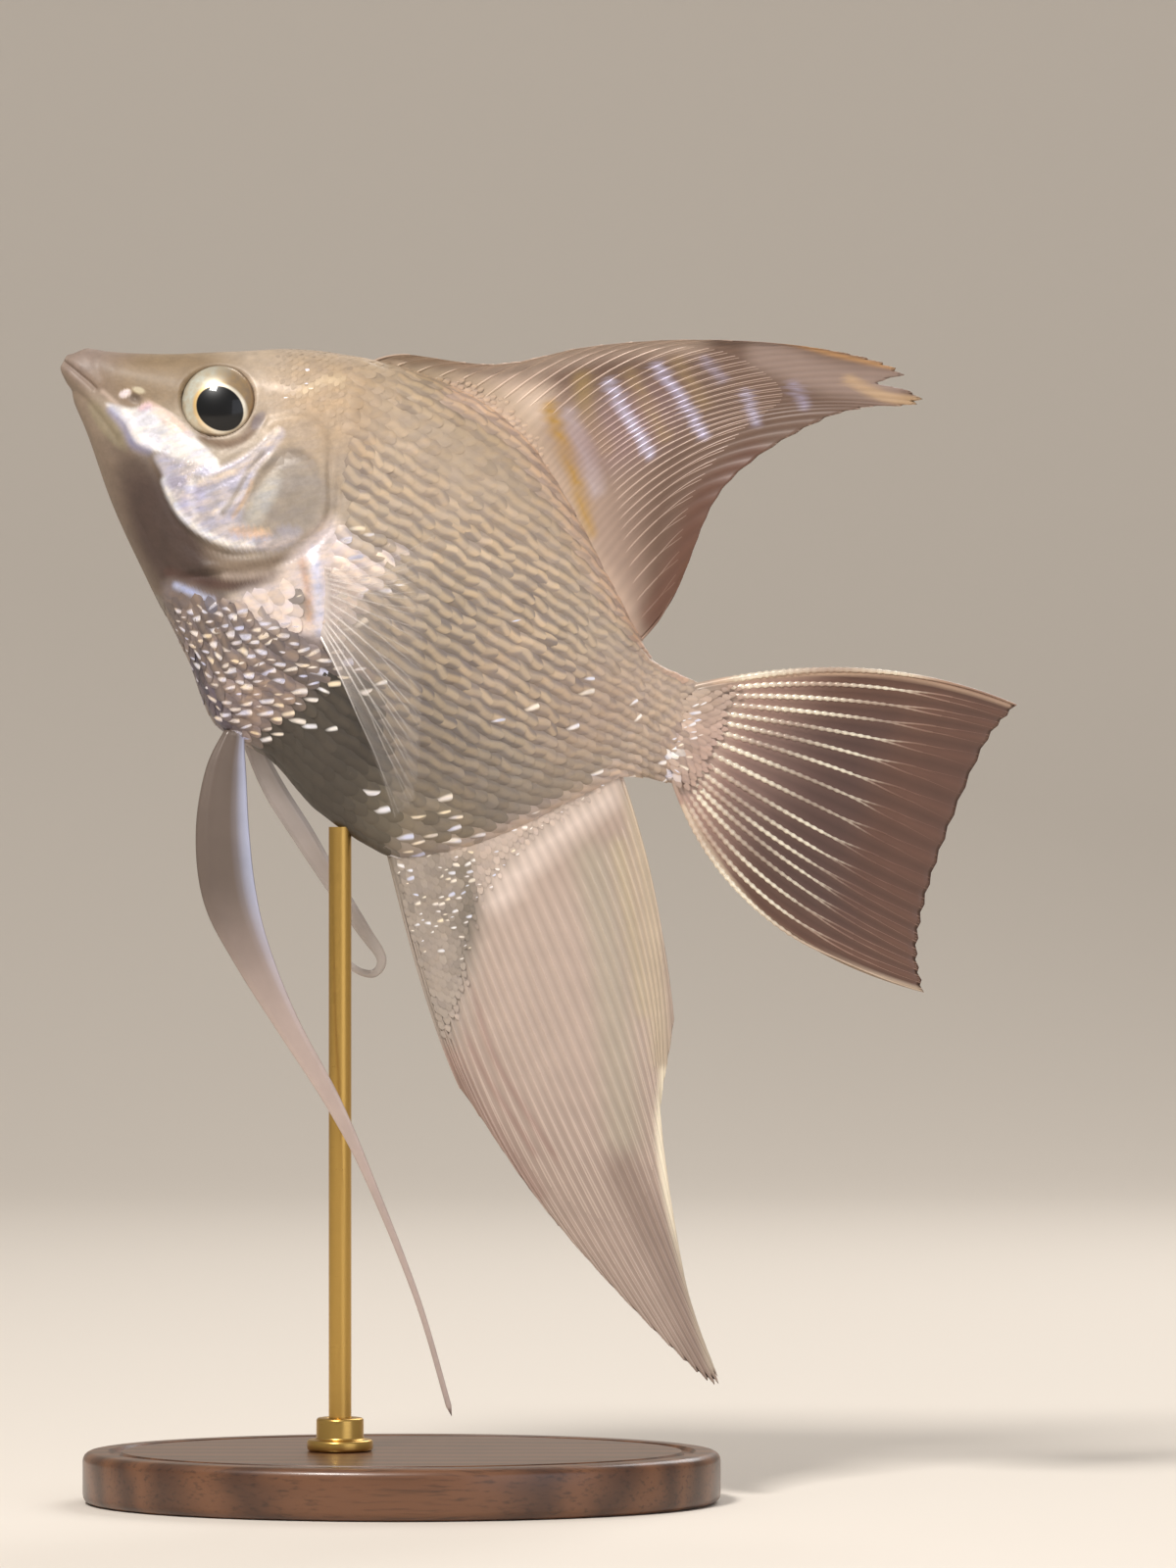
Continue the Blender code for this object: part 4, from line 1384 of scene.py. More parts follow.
@dataclass
class Skin:
    """One seamless skin over head, jaws, gill covers, trunk and tail stalk."""

    finish: Finish
    around: int = 288
    spacing: Spots = ((-0.28, 0.10), (5.0, 0.20), (10.0, 0.16), (20.0, 0.20), (31.5, 0.75),
                      (BODY_END, 0.0))
    cap_rows: int = 6
    nose: float = 0.12
    tail_round: float = 0.5
    bare_depth: float = 0.05
    scaled_depth: float = 0.30
    nape_share: float = 0.6

    def stations(self) -> Array:
        """List the places of the sections, closer together where the head has detail.

        Returns:
            Places along the axis.
        """
        runs = [np.arange(start, end, step)
                for (start, step), (end, _) in zip(self.spacing[:-1], self.spacing[1:])]
        return np.append(np.concatenate(runs), BODY_END)

    def depth(self, spots: Array) -> Array:
        """Return how far the skin lies inside the solid, to leave room for the scales.

        Args:
            spots: (N, 2) side-view points.

        Returns:
            Depths in millimetres.
        """
        behind = line_distance(spots, curve(GILL_LINE, 40))[0]
        wide = 0.8 + 3.4 * smooth((spots[:, 1] - 1.0) / 5.0)
        trunk = smooth(behind / wide + 0.3) * smooth((spots[:, 0] - 18.0) / 4.0)
        nape = smooth((spots[:, 0] - 17.0) / 8.0) * smooth((spots[:, 1] - 5.5) / 3.0)
        share = np.maximum(trunk, self.nape_share * nape)
        return self.bare_depth + (self.scaled_depth - self.bare_depth) * share

    def place(self, s: Array, t: Array) -> Array:
        """Return the skin's fish points.

        Args:
            s: share along the fish, nose to tail.
            t: share round the section, from the belly.

        Returns:
            Fish points (a, y, b).
        """
        stations = self.stations()
        rows = len(stations) + 2 * self.cap_rows
        row = np.rint(s * (rows - 1)).astype(int) - self.cap_rows
        a = stations[np.clip(row, 0, len(stations) - 1)]
        turn = -math.pi / 2 + math.tau * t
        base = BODY.surface(a, turn)
        normals = BODY.normal(a, turn)
        normals[~np.isfinite(normals).all(-1)] = 0.0
        spots = base[:, ::2]
        lift = sum(fold.lift(spots) for fold in HEAD_FOLDS) - self.depth(spots)
        lift += eye_lift(base + normals * lift[:, None])
        skin = base + normals * lift[:, None]
        nose = np.clip(-row / self.cap_rows, 0, 1) * math.pi / 2
        end = np.clip((row - len(stations) + 1) / self.cap_rows, 0, 1) * math.pi / 2
        front = self.spacing[0][0]
        middle = np.array((front, 0.0, float(KEEL(front))))
        capped = middle + (skin - middle) * np.cos(nose)[:, None]
        skin = np.where(nose[:, None] > 0, capped, skin)
        skin[:, 0] -= self.nose * np.sin(nose)
        skin[:, 0] += self.tail_round * np.sin(end)
        skin[:, 1] *= np.cos(end)
        return skin

    def build(self) -> None:
        """Make the skin and lay its markings."""
        rows = len(self.stations()) + 2 * self.cap_rows
        skin, flat = flat_grid("skin", rows - 1, self.around)
        points = self.place(*((flat.T + 1.0) / 2.0))
        set_points(skin.data, to_row(points))
        colour, pearl = body_colours(points[:, ::2])
        paint(skin, tint=colour, pearl=pearl)
        close_up(skin)
        settle(skin, "pearl_skin", self.finish, "head", "jaw_upper", "jaw_lower",
               "gill_cover_left", "gill_cover_right", "trunk", "tail_stalk")


# --- scales

@dataclass(frozen=True)
class ScaleShape:
    """One thin scale, rounded at its free edge, modelled once."""

    columns: int = 5
    rows: int = 8
    rounding: float = 0.30
    root_width: float = 0.72
    widest: float = 0.55
    narrowing: float = 1.75

    def model(self) -> Template:
        """Model the scale flat: x from root to free edge, y across, z its crown share.

        Returns:
            The scale as a template.
        """
        obj, flat = flat_grid("scale", self.columns, self.rows)
        p, q = (flat[:, 0] + 1) / 2, flat[:, 1]
        width = self.root_width + (1 - self.root_width) * smooth(p / 0.45)
        width *= np.sqrt(1 - self.narrowing * np.clip(p - self.widest, 0, 1) ** 2)
        x = p * (1 - self.rounding * q * q)
        set_points(obj.data, np.stack((x, 0.5 * q * width, 1 - q * q), -1))
        edit_mode()
        bpy.ops.mesh.select_all(action='SELECT')
        bpy.ops.mesh.region_to_loop()
        bpy.ops.mesh.edge_face_add()
        edit_mode(False)
        return Template.taken_from(obj)


@dataclass(frozen=True)
class ScaleField:
    """A field of like scales in staggered rows that run along the body."""

    name: str
    row: float
    pitch: float
    outline: Spots
    crown: float
    step: float
    tilt: float
    front_pull: float
    rear_pull: float
    length: float = 1.75
    width: float = 1.45
    start: float = 4.0
    trim: Spots = ()
    # how strongly this field's painted crest highlight and side shade show
    ridge_shading_strength: float = 1.0
    ragged: float = 0.8


@dataclass
class Coat:
    """Scales over the skin, laid from the head backwards."""

    finish: Finish
    scale: Template
    patch: float = 0.003
    wave: float = 0.075
    ripples: Spots = ((1.0, 1.7, 4.7, 1.9), (0.8, 3.1, 5.3, 2.7))
    sheet_from: tuple[float, float] = (-2.0, -32.0)
    sheet_size: tuple[float, float] = (76.0, 60.0)
    most_rows: int = 60
    hold: float = 0.42
    # colours of the painted glints
    tints: tuple[str, ...] = ("#FFFFFF", "#FFF8EC", "#EEF2FF", "#FFFFFF", "#FFF4DC")

    @staticmethod
    def lattice(plan: ScaleField) -> tuple[Array, Array]:
        """Count the scales along the body.

        Args:
            plan: the field of scales.

        Returns:
            Places along the axis, and how many scales lie before each.
        """
        a = np.linspace(plan.start, BODY_END, 800)
        rate = 1.0 / (plan.pitch * SWELL(a))
        count = np.concatenate(([0.0], np.cumsum((rate[1:] + rate[:-1]) / 2 * np.diff(a))))
        return a, count

    @staticmethod
    def row_arc(plan: ScaleField, a: Array, k: Array) -> Array:
        """Return how far round the section row k lies at a.

        Args:
            plan: the field of scales.
            a: places along the axis.
            k: row numbers, positive above the widest line.

        Returns:
            Signed arc lengths.
        """
        arc = np.zeros(np.shape(a))
        for way in (-1, 1):
            lengths = BODY.lengths[way]
            top = BODY.stations[np.argmax(lengths)]
            share = BODY.arc(a, way) / lengths.max()
            pull = np.where(a < top, plan.front_pull, plan.rear_pull)
            arc = np.where(k * way > 0, k * plan.row * share ** pull, arc)
        return arc

    def build(self, plan: ScaleField, side: Side, seed: int,
              depth: Callable[[Array], Array]) -> None:
        """Lay one field of scales on one side of the body.

        Args:
            plan: the field of scales.
            side: which side to cover.
            seed: seed of the field's small irregularities.
            depth: gives the skin's depth inside the solid at side-view spots.
        """
        table_a, table_count = self.lattice(plan)
        k, u = (m.ravel() for m in np.meshgrid(
            np.arange(-self.most_rows, self.most_rows + 1.0),
            np.arange(int(table_count[-1])), indexing="ij"))
        u = u + 0.5 * (k % 2)
        a = np.interp(u, table_count, table_a)
        arc = self.row_arc(plan, a, k)
        fits = np.abs(arc) < np.where(arc > 0, BODY.arc(a, 1), BODY.arc(a, -1)) - 0.1
        k, u, a, arc = k[fits], u[fits], a[fits], arc[fits]
        middle = BODY.surface(a, BODY.turn_at(a, arc))[:, ::2]
        rng = np.random.default_rng(seed)
        ring = ring_of(plan.outline, 8 * len(plan.outline))
        covered = inside_depth(middle, ring) > rng.uniform(0.0, plan.ragged, len(middle))
        if plan.trim:
            covered &= inside_depth(middle, ring_of(plan.trim, 8 * len(plan.trim))) < 0
        k, u, a, arc, middle = (v[covered] for v in (k, u, a, arc, middle))
        spin = rng.normal(0.0, 0.05, len(k))[:, None]
        grow = rng.normal(1.0, 0.04, len(k))[:, None]
        lean = rng.normal(0.0, plan.tilt, (2, len(k), 1))
        x, z, crown = self.scale.points.T
        along = (x - self.hold) * plan.length * grow
        across = z * plan.width * grow
        uu = u[:, None] + along * np.cos(spin) - across * np.sin(spin)
        kk = k[:, None] + along * np.sin(spin) + across * np.cos(spin)
        kk += self.wave * sum(
            high * np.sin(uu * rate + drift * np.sin(turn * k[:, None]))
            for high, rate, drift, turn in self.ripples)
        aa = np.interp(uu, table_count, table_a)
        turn = BODY.turn_at(aa, self.row_arc(plan, aa, kk))
        base = BODY.surface(aa, turn, side.value)
        normal = BODY.normal(aa, turn, side.value)
        spots = base[..., ::2].reshape(-1, 2)
        relief = np.zeros(len(spots))
        ahead = spots[:, 0] < HEAD_END
        relief[ahead] = sum(fold.lift(spots[ahead]) for fold in HEAD_FOLDS)
        ribbed = strongest(RIDGE_RELIEF_AND_SHADING_MARKS, middle)[:, None]
        loose = strongest(PAINTED_GLINT_AND_TILT_MARKS, middle)[:, None]
        height = (relief - depth(spots)).reshape(base.shape[:2])
        height += plan.crown * crown * (0.35 + 0.65 * ribbed) - 0.05
        height += plan.step * x * plan.length * (0.55 + 0.45 * loose)
        height += (lean[0] * (x - 0.5) + lean[1] * z) * (0.4 + loose)
        root = (np.stack((a, arc), -1) - self.sheet_from) / self.sheet_size
        self.dress(plan, side, base + normal * height[..., None], middle,
                   body_colours(middle), root, rng)

    def dress(self, plan: Any, side: Side, places: Array, middle: Array,
              ground: tuple[Array, Array], root: Array, rng: np.random.Generator,
              lean: float = 0.0) -> None:
        """Join scales into one piece, with their markings and painted crest light, shade and
        flash.

        The piece has the UV map OFBake, a small patch at each root's place, and the map
        "face", which spans each scale.

        Args:
            plan: the field or sheath of scales.
            side: the side they lie on.
            places: (scales, vertices, 3) fish points.
            middle: (N, 2) side-view places of the scales.
            ground: the colour and pearliness below each scale.
            root: (N, 2) places of the roots on the unwrapped skin, from 0 to 1.
            rng: random source.
            lean: how far the scales' direction is turned up from the body's axis.
        """
        obj = self.scale.stamp(plan.name + "_" + side.name.lower(), places)
        colour, pearl = ground
        count = len(middle)
        # painted glints: which scales carry a painted flash, its size and its colour
        glint_chance = strongest(PAINTED_GLINT_AND_TILT_MARKS, middle)
        tints = np.array([linear(code) for code in self.tints])
        glow = tints[rng.integers(0, len(tints), count)]
        flash = (rng.random(count) < glint_chance) * rng.uniform(0.35, 1.4, count)
        level = np.clip(1.0 + rng.normal(0.0, 1.0, count) * (0.05 + 0.12 * glint_chance), 0.6, 1.6)
        # how strongly each scale's painted crest highlight and side shade show
        ribs = (0.12 + 0.88 * strongest(RIDGE_RELIEF_AND_SHADING_MARKS, middle)) * plan.ridge_shading_strength
        ribs *= rng.uniform(0.6, 1.0, count)
        pearl = np.clip(pearl + rng.normal(0, 0.05, count), 0, 1)
        paint(obj, tint=colour * level[:, None], pearl=pearl, ribs=ribs, flash=flash,
              glow=glow)
        local = self.scale.points[:, :2] - np.array((0.5, 0.0))
        patches = (root * 0.96 + 0.02)[:, None] + local * self.patch
        shift = rng.normal(0.0, 1.0, (count, 1, 2)) * np.array((0.07, 0.05))
        lean = lean + rng.normal(0.0, 0.16, (count, 1))
        x, y = local.T
        face = np.stack((x * np.cos(lean) - y * np.sin(lean),
                         x * np.sin(lean) + y * np.cos(lean)), -1) + 0.5
        for name, spots in (("OFBake", patches), ("face", face + shift)):
            layer = obj.data.uv_layers.new(name=name)
            layer.data.foreach_set("uv", raw(spots[:, self.scale.corners]))
        close_up(obj, 60.0)
        settle(obj, "pearl_skin", self.finish)


SWELL = Profile(((14, 0.55), (24, 0.68), (32, 0.86), (38, 1), (50, 1), (60, 0.8), (72, 0.5)))
TRUNK_OUTLINE = (
    (24.4, 14.6), (26.4, 9.4), (28.6, 5.4), (30.6, 1.8), (31, -1.4), (30.4, -5.2), (28.6, -8.4),
    (26.4, -10.6), (23.4, -12.2), (20.6, -13.4), (18, -16.5), (24, -22), (34, -28), (52, -30),
    (73, -12), (72.8, -5.4), (72, -1.8), (71.2, 1.2), (70.8, 6), (60, 10), (44, 20), (30, 20),
    (24, 17))
PECTORAL_ROOT = (
    (29.4, -2.2), (31.4, -2.4), (33.8, -5.6), (35.8, -9.6), (35.2, -11.4), (33, -10.8),
    (30.9, -8), (29.4, -4.8))
SCALE_FIELDS = (
    ScaleField("scales_trunk", 1.33, 1.28, TRUNK_OUTLINE, 0.24, 0.06, 0.06, 0.75, 0.25,
        trim=PECTORAL_ROOT),
    ScaleField("scales_nape", 0.85, 0.95, ((16.6, 13.6), (17.2, 9.8), (19.6, 8.2), (21.8, 6.8),
        (22.4, 8.4), (27.2, 7.8), (27.8, 9.4), (25.8, 14), (25, 17.8), (18, 15)), 0.05, 0.06,
        0.04, 0.6, 0.3, ridge_shading_strength=0.3, ragged=0.4),
    ScaleField("scales_cheek", 0.62, 0.75, ((9.4, -1.2), (10.6, 0.4), (13.6, -0.4), (16.4, -0.9),
        (17.6, -1.2), (17, -2.6), (16.4, -4.6), (15.2, -4.4), (13.2, -3), (11, -2.3)), 0.03, 0.04,
        0.03, 0.6, 0.3, ridge_shading_strength=0.2),
    ScaleField("scales_opercle", 0.95, 1, ((21, 5.4), (22.8, 7), (25.2, 6.7), (26.8, 4.2),
        (28.4, 1.2), (28.7, -1), (27, -3.4), (24, -5.6), (22.4, -6), (22.4, -2), (22.8, 2)), 0.02,
        0.03, 0.01, 0.6, 0.3, ridge_shading_strength=0.1),
)


# --- fins

@dataclass(frozen=True)
class FinPaint:
    """A fin's colours: its membrane from root to edge, its rays, its markings and painted light.
    """

    root: str
    edge: str
    ray: str
    marks: tuple[Mark, ...] = ()
    root_veil: float = 1.0
    mid_veil: float = 0.85
    edge_veil: float = 0.7
    ray_veil: float = 0.5
    sheath: Spots = ()

    def colour(self, spots: Array, v: Array, ray: bool) -> tuple[Array, Array, Array]:
        """Return what a fin's finish reads.

        Args:
            spots: (N, 2) side-view points.
            v: share along the rays.
            ray: True on a ray, False on the membrane.

        Returns:
            Linear colours, pearliness and opacity.
        """
        colour = mix(linear(self.root), linear(self.edge), smooth(v / 0.45))
        pearl = np.full(len(spots), 0.3 if ray else 0.1)
        if ray:
            colour = mix(colour, linear(self.ray), 0.8)
        for mark in self.marks:
            share = mark.share(spots)
            if mark.pearl is not None:
                share *= 1.0 if ray else 0.6
                pearl += (mark.pearl - pearl) * share
            colour = mix(colour, linear(mark.colour), share)
        if self.sheath:
            share = smooth(inside_depth(spots, ring_of(self.sheath, 60)) / 3.0 + 0.5)
            colour = mix(colour, body_colours(spots)[0], share)
        veil = np.interp(v, (0.0, 0.12, 0.45, 1.0),
                         (1.0, self.root_veil, self.mid_veil, self.edge_veil))
        return colour, pearl, veil + (1 - veil) * self.ray_veil if ray else veil


@dataclass
class FanFin:
    """A fin of fanned rays: a thin closed membrane with branching rays standing off it."""

    name: str
    rays: tuple[Spots, ...]
    counts: Spots
    paint: FinPaint
    sway: float
    spines: int
    root_half: float = 0.55
    edge_half: float = 0.07
    ray_radius: tuple[float, float] = (0.20, 0.07)
    branch: tuple[float, float] = (0.42, 0.7)
    start: float = -0.04
    scallop: float = 0.015
    notches: Spots = ()
    bead: float = 0.0
    bead_until: float = 0.6
    pleat: float = 0.06
    side: int = 0
    splay: float = 0.0
    rooted_at: float = 33.0
    sunk: float = 1.1
    furrow: float = 0.12
    rows: int = 84
    columns_per_ray: int = 4

    def spot(self, u: Array, v: Array) -> Array:
        """Find side-view points of the fin.

        Args:
            u: share across the rays, from the front one to the last.
            v: share along them, from their roots.

        Returns:
            Points (a, b).
        """
        roots, middles, tips = (spline([ray[i] for ray in self.rays], u) for i in range(3))
        v = v[..., None]
        return (roots * (1 - v) * (1 - 2 * v) + middles * 4 * v * (1 - v)
                + tips * v * (2 * v - 1))

    def count_at(self, u: Array) -> Array:
        """Return how many rays lie before u."""
        return np.interp(u, *zip(*self.counts))

    def place_of(self, number: Array) -> Array:
        """Return u of a ray's number."""
        places, numbers = zip(*self.counts)
        return np.interp(number, numbers, places)

    def reach(self, u: Array) -> Array:
        """Return how far along the rays the membrane runs.

        Args:
            u: share across the rays.

        Returns:
            Shares along the rays, less between them and in the notches.
        """
        reach = 1.0 - self.scallop * self.between(u)
        for at, half, cut in self.notches:
            reach -= cut * np.exp(-((u - at) / half) ** 2)
        return reach

    def between(self, u: Array) -> Array:
        """Return 0 on a ray and 1 halfway to the next."""
        return np.sin(math.pi * self.count_at(u)) ** 2

    def centre(self, v: Array) -> Array:
        """Return how far the fin sways or splays from the body's middle plane.

        Args:
            v: share along the rays.

        Returns:
            Values of y in millimetres.
        """
        if self.side:
            root = HALF_WIDTH(self.rooted_at) - self.sunk
            return self.side * (root + self.splay * v * (1.3 - 0.3 * v))
        return self.sway * v * v

    def points(self, u: Array, v: Array, off: Array) -> Array:
        """Return fish points off the fin's middle surface by off millimetres."""
        spot = self.spot(u, v)
        return np.stack((spot[..., 0], self.centre(v) + off, spot[..., 1]), -1)

    def half(self, v: Array) -> Array:
        """Return the membrane's half thickness, fleshy at the root and thin beyond."""
        return self.edge_half + (self.root_half - self.edge_half) * np.clip(
            1 - v / 0.3, 0, 1) ** 2.2

    def radius(self, v: Array) -> Array:
        """Return the radius of a ray, which tapers to its tip."""
        root, tip = self.ray_radius
        return root + (tip - root) * np.clip(v, 0, 1) ** 0.8

    def membrane(self) -> Piece:
        """Make the membrane as one closed sheet, folded round the fin's free edge.

        Returns:
            The membrane.
        """
        total = self.counts[-1][1]
        obj, flat = flat_grid(self.name + "_membrane", int(total * self.columns_per_ray),
                              self.rows)
        s, t = (flat.T + 1.0) / 2.0
        u = self.place_of(s * total)
        share = 1 - np.abs(1 - 2 * t)
        share = 1 - (1 - share) ** 1.15
        v = self.start + (self.reach(u) - self.start) * share
        closing = np.sqrt(np.clip(np.minimum(1 - share, share) / 0.012, 0, 1))
        ends = np.sqrt(np.clip(np.minimum(s, 1 - s) * total / 0.35, 0, 1))
        half = self.half(v) * closing * ends
        wave = self.pleat * np.sin(math.pi * s * total) ** 2 * np.clip(v * 4, 0, 1)
        off = np.where(t < 0.5, -half, half) + wave * (ends > 0.99)
        set_points(obj.data, to_row(self.points(u, v, off)))
        colour, pearl, veil = self.paint.colour(self.spot(u, v), v, False)
        paint(obj, tint=colour * (1 - self.furrow * self.between(u))[:, None], pearl=pearl,
              veil=veil)
        close_up(obj)
        return obj

    def strands(self) -> Array:
        """List the rays' strands, each ray branching twice.

        Returns:
            Rows of v and ray number at the start, v and number at the end, and the share
            of the full thickness.
        """
        found = []
        first, second = self.branch
        last = self.counts[-1][1]
        for i in range(int(last) + 1):
            if i < self.spines:
                found.append((self.start, i, 1.0, i, 1.15))
                continue
            found.append((self.start, i, first, i, 1.0))
            for way in (-1, 1):
                near = i + way * 0.17
                found.append((first, i, second, near, 0.8))
                for twig in (-1, 1):
                    found.append((second, near, 0.995, near + twig * 0.085, 0.55))
        return np.array([s for s in found if max(s[1], s[3]) <= last and min(s[1], s[3]) >= 0])

    def strand_mesh(self, tube: Template) -> Piece:
        """Make all the rays as one joined mesh.

        Args:
            tube: a tube with its length along Z.

        Returns:
            The rays.
        """
        low, n0, high, n1, thick = self.strands().T[..., None]
        x, y, along = tube.points.T
        number = n0 + (n1 - n0) * smooth(along)
        u = self.place_of(number)
        v = np.minimum(low + (high - low) * along, self.reach(u))
        radius = self.radius(v) * thick
        gloss = np.zeros(v.shape)
        if self.bead:
            size = np.linalg.norm(self.spot(u, v) - self.spot(u, np.zeros(v.shape)), axis=-1)
            wave = np.cos(math.tau * size / self.bead)
            fade = smooth((self.bead_until + 0.1 - v) / 0.2) * smooth((v - 0.04) / 0.1)
            radius *= 1 + 0.2 * wave * fade
            patchy = 0.62 + 0.38 * np.sin(9.0 * number + 12.0 * v + 2.5 * np.sin(5.0 * number))
            gloss = (0.8 + 0.2 * wave) * fade * patchy
        cross = unit(self.spot(u + STEP, v) - self.spot(u - STEP, v))
        ahead = unit(self.spot(u, v + STEP) - self.spot(u, v - STEP))
        cross = unit(cross - (cross * ahead).sum(-1, keepdims=True) * ahead)
        centre = self.points(u, v, np.zeros(v.shape))
        off = np.stack((cross[..., 0] * x, np.broadcast_to(y, v.shape), cross[..., 1] * x), -1)
        obj = tube.stamp(self.name + "_rays", centre + off * radius[..., None])
        colour, pearl, veil = self.paint.colour(centre[..., ::2].reshape(-1, 2), v.ravel(), True)
        colour = mix(colour, linear("#FFF6E0"), gloss.ravel())
        pearl = np.clip(pearl + 0.5 * gloss.ravel(), 0, 1)
        paint(obj, tint=colour, pearl=pearl, veil=veil)
        close_up(obj, 60.0)
        return obj

    def build(self, tube: Template, finish: Finish) -> None:
        """Make the membrane, and the rays from a tube, with one finish."""
        settle(self.membrane(), "fin_membrane", finish, self.name)
        settle(self.strand_mesh(tube), "fin_membrane", finish)


DORSAL_RAYS = (
    ((25, 14.6), (26.4, 16.6), (28.4, 18)), ((31.5, 15.6), (33.4, 19.2), (36.5, 21.6)),
    ((36.8, 15.9), (39.4, 22.5), (43, 27.4)), ((40.8, 15.4), (44.7, 26.4), (51, 32.8)),
    ((44, 14.3), (49.6, 29), (61.2, 38)), ((46.6, 13), (53.6, 28.6), (69.6, 40.6)), ((49.2, 11.7),
    (56, 27.4), (73.6, 38.9)), ((52, 9.9), (56.6, 23.6), (66.8, 33.4)), ((55.8, 7.8),
    (57.8, 17.2), (61.4, 22.8)), ((61.4, 4.2), (62.3, 8.6), (62.2, 12.2)))
ANAL_RAYS = (
    ((50, -23.9), (60.6, -34.6), (68.5, -41.2)), ((52.2, -23.2), (68, -38.9), (83.5, -47.9)),
    ((54.4, -21.6), (76.5, -39.6), (98.6, -52.6)), ((57.2, -18.6), (79.5, -36), (104.7, -53.4)),
    ((60.4, -14.8), (80.5, -30), (98.4, -48.2)), ((63.4, -10.6), (77.8, -22), (88.4, -37)),
    ((66.2, -6.6), (75.2, -15.2), (83.1, -24.9)))
TAIL_RAYS = (
    ((69.2, 4.6), (82.3, 13.9), (96.5, 18.3)), ((69.5, 2.7), (83, 8.8), (95.8, 13.6)), ((70, 0.4),
    (83.4, 3.2), (96.8, 5)), ((70.8, -2.1), (84.2, -3), (98.3, -2.2)), ((71.4, -3.8), (84.2, -7),
    (100.2, -7.2)), ((71.9, -5.2), (85.6, -11.7), (102.8, -10.4)))
PECTORAL_RAYS = (
    ((31.2, -4.2), (35.4, -2), (39.8, 4)), ((32, -6), (38.6, -4.9), (43, -3.8)), ((33, -7.6),
    (41.2, -10), (47.6, -12.2)), ((34, -8.9), (42.6, -13.8), (50.6, -18.8)), ((34.9, -10),
    (42.4, -15.2), (50, -21.6)))
PELVIC_NEAR = (
    (32, -21.9, 1.1, 0.9), (33.4, -26, 1.9, 2), (36.1, -31.2, 2.9, 2.6), (39.8, -36.1, 3.8, 2.6),
    (44.5, -39.9, 4.6, 1.9), (50.8, -43.9, 5.4, 1.2), (58.5, -48.2, 6.2, 0.8),
    (65, -52.6, 6.8, 0.45), (75, -60.4, 7.6, 0.3), (83.6, -68.5, 8.2, 0.27))
PELVIC_FAR = (
    (33, -21.6, 1.1, 0.8), (37.9, -25, 2.4, 1.1), (42.8, -27.6, 3.4, 1.1),
    (47.6, -30.2, 4.2, 0.9), (52.3, -32.6, 4.9, 0.7), (55.4, -34.2, 5.4, 0.5),
    (55.5, -35.9, 5.5, 0.4), (53.6, -36.4, 5.4, 0.35), (51.4, -35.6, 5.3, 0.3))

DORSAL_SHEATH = (
    (24, 13), (25.4, 15.6), (30, 18), (36, 19.2), (41.6, 18.4), (47, 15.2), (52.4, 11.2),
    (59, 7.4), (62.2, 4.8), (58, 3.6), (50, 8.6), (40, 12.6), (30, 12.6))
ANAL_SHEATH = (
    (48.4, -22.6), (51.4, -26.6), (56, -31.2), (61, -36.2), (64.4, -38.4), (65.4, -36), (64, -31),
    (62.2, -26.4), (61.6, -21.6), (62.8, -17), (64.8, -12.4), (67.2, -7.4), (66.4, -4.6),
    (62.6, -7), (58, -15), (53, -20))
TAIL_SHEATH = (
    (66.6, 5.6), (70, 5.6), (72.6, 6), (73.6, 3), (74.2, -1), (74, -4.6), (72.2, -6), (69, -6.6),
    (67.4, 0))
DORSAL_MARKS_AND_PAINTED_LIGHT = (
    Mark(((26, 15), (32, 17.5), (38, 21), (42, 22), (42, 17), (34, 15.5)), "#E3CBB6", 0.8, 3),
    # pale band along the fin's front edge: painted light on the thick curved margin, which falls
    # into shade
    Mark(((28, 17.4), (32, 19.4), (37.6, 22.8), (44, 28.8), (51, 33.4)), "#CDB6A4", 0.8, 2.6,
        half=1.6),
    Mark(((42.6, 20.4), (45.4, 18.2), (48.6, 15.4), (52.2, 11.8)), "#B48B3C", 0.95, 1.2,
        half=0.5),
    Mark(((44.6, 20.8), (47.6, 18.6), (50.6, 15.8)), "#BFB0B4", 0.6, 1.2, half=0.7),
    Mark(((44, 24.4), (46.2, 21.8), (49.4, 19.8)), "#A58A55", 0.6, 1.4, half=0.8),
    Mark(((50, 22.6), (3.4, 5.6)), "#94777A", 0.5, 1.2, turn=-30),
    Mark(((47.8, 27.2), (50.6, 25.5), (53.8, 23.6)), "#A88C5C", 0.5, 1.3, half=0.5),
    Mark(((51, 30.6), (53.4, 29.3), (55.6, 28.2)), "#A88C5C", 0.45, 1.3, half=0.45),
    Mark(((46.4, 25.4), (49.4, 23.7), (53.4, 21.4)), "#DAD6F2", 0.95, 0.8, half=0.42, pearl=0.5),
    Mark(((49.6, 29.2), (53, 27.7), (57, 25.6)), "#D6D1F0", 0.9, 0.8, half=0.4, pearl=0.5),
    Mark(((53.4, 32), (55.8, 31.2)), "#B5ADC8", 0.6, 0.9, half=0.4, pearl=0.3),
    Mark(((58.4, 31.2), (60.8, 29.2)), "#CFCBEA", 0.8, 0.8, half=0.35, pearl=0.4),
    Mark(((58, 35.4), (64, 36.4), (70, 38.8)), "#A58F84", 0.8, 2, half=1.6),
    Mark(((62, 34.2), (64, 33)), "#B9B2CF", 0.5, 0.8, half=0.4),
    Mark(((52, 34), (58, 37), (64.5, 38.9), (70.5, 40.8)), "#CC9A62", 0.75, 0.6, half=0.2),
    Mark(((66.5, 37.4), (70, 37.6), (74.2, 39.2)), "#D6B389", 0.6, 0.6, half=0.5),
    Mark(((61.6, 5), (61.8, 12), (60.6, 20), (62.4, 26)), "#694334", 0.7, 2.4, half=1.6),
)
